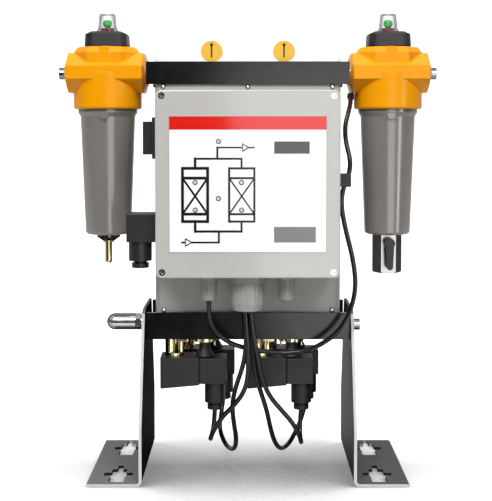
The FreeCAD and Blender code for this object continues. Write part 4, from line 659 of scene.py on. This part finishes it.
@dataclass(frozen=True)
class Studio:
    """Floor, surround, lamps and camera, in metres unless it says otherwise.

    Attributes:
        materials: Where the floor's finish comes from.
        half_width: Half of the floor's width.
        floor_front: Y of the floor's front edge.
        bend_start: Y at which the floor starts to rise.
        bend_radius: Radius of the bend.
        bend_steps: Faces round the bend.
        bend_angle: Degrees between faces that are still shaded smoothly.
        backdrop_top: Height of the backdrop.
        behind: Range of a direction's Y, and the surround's light over it.
        above: Range of a direction's Z, and the surround's light over it.
        diffuse_share: Share of the surround that lights the object evenly.
        aim_height: Height that the lamps which light the object face.
        focal_pixels: Focal length, in pixels of the frame.
        frame_height: Height of the frame, in pixels.
        sensor_height: Height of the sensor, in millimetres.
        shift: Shift of the lens across and up, in shares of the frame.
        camera_distance: Distance before the feet's front edge.
        camera_height: Height above the floor.
        camera_pitch: Degrees from straight down.
        near_clip: Distance at which the camera starts to see.
    """

    materials: MaterialMaker
    half_width: float = 4.0
    floor_front: float = -0.5
    bend_start: float = 1.2
    bend_radius: float = 0.8
    bend_steps: int = 8
    bend_angle: float = 60.0
    backdrop_top: float = 3.5
    behind: tuple = ((-0.2, 0.5), (0.05, 0.75))
    above: tuple = ((0.06, 0.5), (0.0, 0.65))
    diffuse_share: float = 0.4
    aim_height: float = 0.25
    focal_pixels: float = 1068.0
    frame_height: float = 501.0
    sensor_height: float = 36.0
    shift: tuple = (-0.0036, -0.1487)
    camera_distance: float = 1.037
    camera_height: float = 0.352
    camera_pitch: float = 87.5
    near_clip: float = 0.01

    def build(self) -> None:
        """Sets up everything that isn't part of the object."""
        scene = bpy.context.scene
        scene.view_settings.view_transform = "Standard"
        scene.view_settings.look = "None"
        self._floor()
        self._world(scene)
        for lamp in LAMPS:
            self._light(scene, lamp)
        self._camera(scene)

    def _floor(self) -> None:
        """Makes a plain pale floor that rises into a backdrop."""
        turns = [math.pi / 2 / self.bend_steps * step for step in range(1, self.bend_steps + 1)]
        profile = [(self.floor_front, 0.0), (self.bend_start, 0.0)]
        profile += [(self.bend_start + self.bend_radius * math.sin(turn),
                     self.bend_radius - self.bend_radius * math.cos(turn)) for turn in turns]
        profile.append((self.bend_start + self.bend_radius, self.backdrop_top))
        mesh = bpy.data.meshes.new("floor")
        form = bmesh.new()
        rows = [[form.verts.new((x, y, z)) for x in (-self.half_width, self.half_width)] for y, z in profile]
        for low, high in zip(rows, rows[1:]):
            form.faces.new((low[0], low[1], high[1], high[0]))
        form.to_mesh(mesh)
        form.free()
        smooth(mesh, self.bend_angle)
        floor = new_object("floor", mesh, self.materials.get("floor"))
        floor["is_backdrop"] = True

    def _world(self, scene: bpy.types.Scene) -> None:
        """Makes a surround that the camera sees white, with light above and behind and dark flags in front.

        Args:
            scene: The scene that it goes round.
        """
        world = bpy.data.worlds.new("studio")
        world.use_nodes = True
        graph = Graph(world.node_tree)
        background = world.node_tree.nodes["Background"].inputs
        direction = graph.split(graph.node("ShaderNodeTexCoord").outputs["Generated"])
        behind = graph.ramp(direction["Y"], *self.behind)
        above = graph.ramp(direction["Z"], *self.above)
        rays = graph.node("ShaderNodeLightPath").outputs
        share = graph.ramp(rays["Is Diffuse Ray"], (0.0, 1.0), (1.0, self.diffuse_share))
        dimmed = graph.math("MULTIPLY", graph.math("ADD", behind, above), share)
        seen = graph.math("MAXIMUM", rays["Is Camera Ray"], rays["Is Transmission Ray"])
        graph.feed(background["Strength"], graph.math("MAXIMUM", dimmed, seen))
        background["Color"].default_value = WHITE
        scene.world = world

    def _light(self, scene: bpy.types.Scene, lamp: Lamp) -> None:
        """Makes one area light. One that only mirrors show is aimed level.

        Args:
            scene: The scene that it goes into.
            lamp: Its sizes.
        """
        data = bpy.data.lights.new(lamp.name, "AREA")
        data.shape = "RECTANGLE"
        data.size, data.size_y = lamp.size
        data.energy = lamp.power
        light = bpy.data.objects.new(lamp.name, data)
        scene.collection.objects.link(light)
        light.location = lamp.place
        light.visible_diffuse = lamp.lights
        aim = Vector((0.0, 0.0, self.aim_height if lamp.lights else lamp.place[2])) - Vector(lamp.place)
        light.rotation_euler = aim.to_track_quat("-Z", "Y").to_euler()
        if lamp.tilt:
            light.rotation_euler.rotate_axis("Z", math.radians(lamp.tilt))

    def _camera(self, scene: bpy.types.Scene) -> None:
        """Sets the photograph's viewpoint: level with the filters' bowls and a metre before the feet.

        Args:
            scene: The scene that it looks at.
        """
        data = bpy.data.cameras.new("camera")
        data.sensor_fit = "VERTICAL"
        data.sensor_height = self.sensor_height
        data.lens = self.focal_pixels * self.sensor_height / self.frame_height
        data.shift_x, data.shift_y = self.shift
        data.clip_start = self.near_clip
        camera = bpy.data.objects.new("camera", data)
        scene.collection.objects.link(camera)
        camera.location = (0.0, FOOT_FRONT - self.camera_distance, self.camera_height)
        camera.rotation_euler = (math.radians(self.camera_pitch), 0.0, 0.0)
        scene.camera = camera


@dataclass(frozen=True)
class Cords:
    """The five cords, each one open spline.

    Attributes:
        materials: Where the sheath's finish comes from.
        ring_steps: Subdivisions of the round section.
        run_steps: Subdivisions between two control points.
        order: Order of the spline.
    """

    materials: MaterialMaker
    ring_steps: int = 5
    run_steps: int = 10
    order: int = 3

    def build(self) -> None:
        """Makes every cord of ROUTES."""
        for node, route in ROUTES.items():
            self._cord(node, route)

    def _cord(self, node: str, route: Route) -> None:
        """Makes one cord over its CAD solid.

        Args:
            node: The solid's name.
            route: The cord's course.
        """
        points = route.metres()
        curve = bpy.data.curves.new(node + "_line", "CURVE")
        curve.dimensions = "3D"
        curve.bevel_depth = CORD_DIAMETER / 2
        curve.bevel_resolution = self.ring_steps
        curve.use_fill_caps = True
        curve.resolution_u = self.run_steps
        spline = curve.splines.new("NURBS")
        spline.points.add(len(points) - 1)
        for control, point in zip(spline.points, points):
            control.co = (*point, 1.0)
        spline.order_u = self.order
        spline.use_endpoint_u = True
        curve.materials.append(self.materials.get("cord_sheath"))
        piece = bpy.data.objects.new(node + "_sheath", curve)
        bpy.context.scene.collection.objects.link(piece)
        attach(piece, "dryer")
        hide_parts(node)


class Copy(Enum):
    """What a repeat places at each point."""

    DISC = "disc"
    BLOCK = "block"


@dataclass(frozen=True)
class Repeat:
    """A small form that stands at several places, with its depth along Y.

    Attributes:
        name: Name of the piece.
        form: What is placed.
        places: Middles of the copies, in millimetres, in the frame of the model.
        size: Width, depth and height of one copy, in millimetres.
        finish: A key of FINISHES.
        slot: The record's material slot; not used.
        disc_sides: Sides of a disc.
        smooth_angle: Degrees between faces that are still shaded smoothly.
    """

    name: str
    form: Copy
    places: tuple
    size: tuple
    finish: str
    slot: str
    disc_sides: int = 24
    smooth_angle: float = 40.0

    def build(self, materials: MaterialMaker) -> bpy.types.Object:
        """Places the copies with Geometry Nodes and makes one plain mesh of them.

        Args:
            materials: Where the finish comes from.

        Returns:
            The finished piece.
        """
        points = bpy.data.meshes.new(self.name + "_points")
        points.from_pydata([[part / PER_METRE for part in place] for place in self.places], [], [])
        piece = bpy.data.objects.new(self.name, points)
        bpy.context.scene.collection.objects.link(piece)
        tree = self._tree()
        modifier = piece.modifiers.new("repeat", "NODES")
        modifier.node_group = tree
        width, depth, height = (part / PER_METRE for part in self.size)
        values = {"Width": width, "Depth": depth, "Height": height, "Finish": materials.get(self.finish)}
        for socket in tree.interface.items_tree:
            if socket.item_type == "SOCKET" and socket.in_out == "INPUT" and socket.name in values:
                modifier[socket.identifier] = values[socket.name]
        bpy.context.view_layer.update()
        finished = piece.evaluated_get(bpy.context.evaluated_depsgraph_get())
        mesh = bpy.data.meshes.new_from_object(finished)
        piece.modifiers.clear()
        piece.data = mesh
        smooth(mesh, self.smooth_angle)
        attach(piece, "dryer")
        return piece

    def _tree(self) -> bpy.types.GeometryNodeTree:
        """Makes the node tree: one form, an instance at each point, made real and given its material.

        Returns:
            The tree.
        """
        tree = bpy.data.node_groups.new(self.name + "_repeat", "GeometryNodeTree")
        tree.interface.new_socket("Geometry", in_out="INPUT", socket_type="NodeSocketGeometry")
        for label in ("Width", "Depth", "Height"):
            tree.interface.new_socket(label, in_out="INPUT", socket_type="NodeSocketFloat")
        tree.interface.new_socket("Finish", in_out="INPUT", socket_type="NodeSocketMaterial")
        tree.interface.new_socket("Geometry", in_out="OUTPUT", socket_type="NodeSocketGeometry")
        graph = Graph(tree)
        given = graph.node("NodeGroupInput")
        form = self._block(graph, given) if self.form is Copy.BLOCK else self._disc(graph, given)
        spread = graph.node("GeometryNodeInstanceOnPoints")
        graph.feed(spread.inputs["Points"], given.outputs["Geometry"])
        graph.feed(spread.inputs["Instance"], form)
        real = graph.node("GeometryNodeRealizeInstances")
        graph.feed(real.inputs["Geometry"], spread.outputs["Instances"])
        dress = graph.node("GeometryNodeSetMaterial")
        graph.feed(dress.inputs["Geometry"], real.outputs["Geometry"])
        graph.feed(dress.inputs["Material"], given.outputs["Finish"])
        graph.feed(graph.node("NodeGroupOutput").inputs["Geometry"], dress.outputs["Geometry"])
        return tree

    @staticmethod
    def _block(graph: Graph, given: bpy.types.Node) -> Socket:
        """Makes one copy as a block.

        Args:
            graph: Where the nodes go.
            given: The node with the tree's inputs.

        Returns:
            The block.
        """
        size = graph.node("ShaderNodeCombineXYZ")
        for label, axis in (("Width", "X"), ("Depth", "Y"), ("Height", "Z")):
            graph.feed(size.inputs[axis], given.outputs[label])
        block = graph.node("GeometryNodeMeshCube")
        graph.feed(block.inputs["Size"], size.outputs["Vector"])
        return block.outputs["Mesh"]

    def _disc(self, graph: Graph, given: bpy.types.Node) -> Socket:
        """Makes one copy as a round plate that faces the front.

        Args:
            graph: Where the nodes go.
            given: The node with the tree's inputs.

        Returns:
            The plate.
        """
        disc = graph.node("GeometryNodeMeshCylinder")
        disc.inputs["Vertices"].default_value = self.disc_sides
        graph.feed(disc.inputs["Radius"], graph.math("MULTIPLY", given.outputs["Width"], 0.5))
        graph.feed(disc.inputs["Depth"], given.outputs["Depth"])
        turn = graph.node("GeometryNodeTransform")
        turn.inputs["Rotation"].default_value = (math.pi / 2, 0.0, 0.0)
        graph.feed(turn.inputs["Geometry"], disc.outputs["Mesh"])
        return turn.outputs["Geometry"]


def bar(x0: float, z0: float, x1: float, z1: float, width: float) -> tuple:
    """A straight printed line with square ends.

    Args:
        x0: Start across.
        z0: Start height.
        x1: End across.
        z1: End height.
        width: Line width.

    Returns:
        The line's four corners.
    """
    run = Vector((x1 - x0, z1 - z0)).normalized()
    side = Vector((-run.y, run.x)) * (width / 2)
    reach = run * (width / 2)
    corners = (Vector((x0, z0)) - reach - side, Vector((x1, z1)) + reach - side,
               Vector((x1, z1)) + reach + side, Vector((x0, z0)) - reach + side)
    return tuple((corner.x, corner.y) for corner in corners)


def rectangle(x0: float, z0: float, x1: float, z1: float) -> tuple:
    """An upright rectangle.

    Args:
        x0: Left side.
        z0: Lower side.
        x1: Right side.
        z1: Upper side.

    Returns:
        Its four corners.
    """
    return ((x0, z0), (x1, z0), (x1, z1), (x0, z1))


@dataclass(frozen=True)
class Print:
    """Flat printed shapes of one colour on the foil.

    Attributes:
        finish: A key of FINISHES.
        polygons: The shapes, each with its corners in millimetres across and up.
        lift: Distance before the foil's front, in metres. It is below zero in the display's window.
        name: Name of the piece, where it isn't made of the finish's.
    """

    finish: str
    polygons: tuple
    lift: float = 0.00005
    name: str = ""


@dataclass(frozen=True)
class FoilPrint:
    """The plain flow diagram, red band, display and lamps on the foil, in millimetres.

    Attributes:
        materials: Where the finishes come from.
        half_width: Half of the foil's width.
        low: Height of its lower side.
        high: Height of its upper side.
        band_low: Height of the red band's lower side.
        edge_width: Width of the thin line round it.
        block: Sides of the plain grey block.
        display: Sides of the display.
        display_lift: Place of the display in its window, in metres before the foil's front.
        layer_step: Step from one shape to the next, in metres, so that none lie in one plane.
        vessels: Left side, right side and line width of each vessel.
        vessel_heights: Heights of a vessel's four level lines.
        cross_share: Width of a vessel's cross, as a share of its lines'.
        pipes: Start across and up, end across and up, and width of each straight pipe.
        arrows: Middle of each arrow head's upright side.
        arrow_layers: Name, finish, half height, lead to the left and lift in metres of each layer.
        arrow_length: Length of an arrow head, as a share of its half height.
        lamps: Middles of the lamps.
        lamp_layers: Name, finish, width and thickness of each layer.
    """

    materials: MaterialMaker
    half_width: float = 75.75
    low: float = 233.6
    high: float = 364.8
    band_low: float = 351.7
    edge_width: float = 0.5
    block: tuple = (25.1, 243.4, 65.3, 258.5)
    display: tuple = (25.3, 328.7, 59.2, 340.4)
    display_lift: float = -0.00019
    layer_step: float = 0.000001
    vessels: tuple = ((-62.6, -38.5, 2.8), (-17.9, 6.3, 2.1))
    vessel_heights: tuple = (263.6, 270.7, 305.3, 314.7)
    cross_share: float = 0.72
    pipes: tuple = (
        (-50.5, 314.7, -50.5, 323.9, 2.5),
        (-6.0, 314.7, -6.0, 323.9, 1.9),
        (-50.5, 323.9, -6.0, 323.9, 1.9),
        (-29.2, 323.9, -29.2, 334.6, 1.9),
        (-29.2, 334.6, 6.0, 334.6, 1.5),
        (-50.5, 263.6, -50.5, 254.0, 2.5),
        (-6.0, 263.6, -6.0, 254.0, 1.9),
        (-50.5, 254.0, -6.0, 254.0, 2.2),
        (-27.8, 254.0, -27.8, 243.4, 1.9),
        (-27.8, 243.4, -63.2, 243.4, 1.7),
    )
    arrows: tuple = ((-4.6, 334.6), (-59.4, 243.4))
    arrow_layers: tuple = (
        ("foil_arrows", "print_dark", 4.4, 0.99, 0.00008),
        ("foil_arrow_fills", "foil_print", 2.6, 0.0, 0.0001),
    )
    arrow_length: float = 1.75
    lamps: tuple = (
        (-28.1, 340.4), (-28.2, 285.7), (-50.5, 301.1), (-50.5, 274.6), (-6.0, 301.1), (-6.0, 274.6),
    )
    lamp_layers: tuple = (
        ("foil_rings", "print_dark", 5.0, 0.09),
        ("foil_lamps", "lamp_lens", 3.2, 0.13),
    )

    def build(self) -> None:
        """Makes each printed colour as one thin piece, then the arrow heads and the lamps."""
        lines = [line for vessel in self.vessels for line in self._vessel(*vessel)]
        lines += [bar(*pipe) for pipe in self.pipes]
        band = rectangle(-self.half_width, self.band_low, self.half_width, self.high)
        prints = (
            Print("print_red", (band,)),
            Print("print_dark", tuple(lines)),
            Print("print_grey", (rectangle(*self.block),)),
            Print("print_edge", self._border()),
            Print("display_grey", (rectangle(*self.display),), self.display_lift),
            *self._arrow_heads(),
        )
        for sheet in prints:
            self._print(sheet)
        self._lamp_lenses()

    def _vessel(self, left: float, right: float, width: float) -> list:
        """Draws a vessel: a frame, two inner lines and a cross between them.

        Args:
            left: Middle of the left line.
            right: Middle of the right line.
            width: Line width.

        Returns:
            Its lines.
        """
        low, inner_low, inner_high, high = self.vessel_heights
        thin = self.cross_share * width
        return [
            bar(left, low, right, low, width),
            bar(left, high, right, high, width),
            bar(left, low, left, high, width),
            bar(right, low, right, high, width),
            bar(left, inner_low, right, inner_low, width),
            bar(left, inner_high, right, inner_high, width),
            bar(left, inner_low, right, inner_high, thin),
            bar(left, inner_high, right, inner_low, thin),
        ]

    def _border(self) -> tuple:
        """Draws the foil's thin edge line.

        Returns:
            Its four strips.
        """
        half, low, high, width = self.half_width, self.low, self.high, self.edge_width
        return (
            rectangle(-half, low, half, low + width),
            rectangle(-half, high - width, half, high),
            rectangle(-half, low + width, width - half, high - width),
            rectangle(half - width, low + width, half, high - width),
        )

    def _arrow_heads(self) -> list:
        """Draws the arrow heads, each a dark triangle with a white one on it.

        Returns:
            The two layers.
        """
        layers = []
        for name, finish, half, lead, lift in self.arrow_layers:
            triangles = tuple(
                ((x - lead, z - half), (x - lead + half * self.arrow_length, z), (x - lead, z + half))
                for x, z in self.arrows)
            layers.append(Print(finish, triangles, lift, name))
        return layers

    def _print(self, sheet: Print) -> None:
        """Makes one colour of print, a hair before the foil.

        Args:
            sheet: The shapes.
        """
        mesh = bpy.data.meshes.new(sheet.finish)
        form = bmesh.new()
        for number, polygon in enumerate(sheet.polygons):
            front = FOIL_FRONT - sheet.lift - self.layer_step * number
            corners = [form.verts.new((x / PER_METRE, front, z / PER_METRE)) for x, z in polygon]
            form.faces.new(corners)
        bmesh.ops.recalc_face_normals(form, faces=form.faces)
        form.to_mesh(mesh)
        form.free()
        piece = new_object(sheet.name or "foil_" + sheet.finish, mesh, self.materials.get(sheet.finish))
        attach(piece, "dryer")

    def _lamp_lenses(self) -> None:
        """Makes the small flat lamp lenses, each in a dark ring."""
        front = FOIL_FRONT * PER_METRE
        for name, finish, across, proud in self.lamp_layers:
            places = tuple((x, front - proud / 2, z) for x, z in self.lamps)
            size = (across, proud, across)
            Repeat(name, Copy.DISC, places, size, finish, "foil_print").build(self.materials)


@dataclass(frozen=True)
class PaintedRecessShade:
    """Painted shade in the screw plugs' slots: dark bottoms in the slots and dark discs in the round dimples
    at their upper ends, in millimetres.

    Attributes:
        materials: Where the finish comes from.
        plug_side: Distance of a plug from the middle.
        plug_front: Y of a plug's front.
        plug_height: Height of a slot's middle.
        slot: Width, depth and height of a slot's bottom.
        slot_sunk: Depth of the bottom behind the plug's front.
        dimple: Width of a dimple.
        dimple_rise: Height of a dimple above the slot's middle.
    """

    materials: MaterialMaker
    plug_side: float = 36.65
    plug_front: float = -19.5
    plug_height: float = 431.0
    slot: tuple = (1.5, 0.5, 12.9)
    slot_sunk: float = 1.1
    dimple: float = 3.1
    dimple_rise: float = 6.5

    def build(self) -> None:
        """Makes the painted shade in the slots' bottoms and the dimples."""
        depth = self.plug_front + self.slot_sunk
        round_size = (self.dimple, self.slot[1], self.dimple)
        for name, form, height, size in (
            ("plug_slot_shade", Copy.BLOCK, self.plug_height, self.slot),
            ("plug_dimple_shade", Copy.DISC, self.plug_height + self.dimple_rise, round_size),
        ):
            places = tuple((x, depth, height) for x in (-self.plug_side, self.plug_side))
            Repeat(name, form, places, size, "slot_painted_shade", "gold_anodised").build(self.materials)


@dataclass(frozen=True)
class Dresser:
    """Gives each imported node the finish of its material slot, or one of its own.

    Attributes:
        materials: Where the finishes come from.
    """

    frame: dict
    materials: MaterialMaker

    FINISH_OF_NODE = {
        # The legs take lit and shaded copies of the black sheet, which paint light and shade on them.
        "left_leg": "left_leg_sheet_painted_light",
        "right_leg": "right_leg_sheet_painted_light",
        "drain_barb": "drain_brass",
        # The nipples, drain valve body and stub take a darker copy of bright steel, painted shade for the
        # dark surround they reflect.
        "drain_valve_body": "steel_painted_dark",
        "port_nipples": "steel_painted_dark",
        "block_stub": "steel_painted_dark",
    }

    def build(self) -> None:
        """Sets the material of every node."""
        slots = {part["node"]: part["material_slot"] for part in self.frame["record"]["subparts"]}
        for name, node in self.frame["nodes"].items():
            material = self.materials.get(self.FINISH_OF_NODE.get(name, slots[name]))
            node.data.materials.clear()
            node.data.materials.append(material)


def main() -> None:
    """Builds the scene and reports each piece."""
    logging.basicConfig(level=logging.INFO)
    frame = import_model()
    materials = MaterialMaker()
    Studio(materials).build()
    Dresser(frame, materials).build()
    Cords(materials).build()
    FoilPrint(materials).build()
    PaintedRecessShade(materials).build()
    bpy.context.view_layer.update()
    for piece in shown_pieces():
        LOG.info("piece: %s", piece.name)


if __name__ == "__main__":
    main()
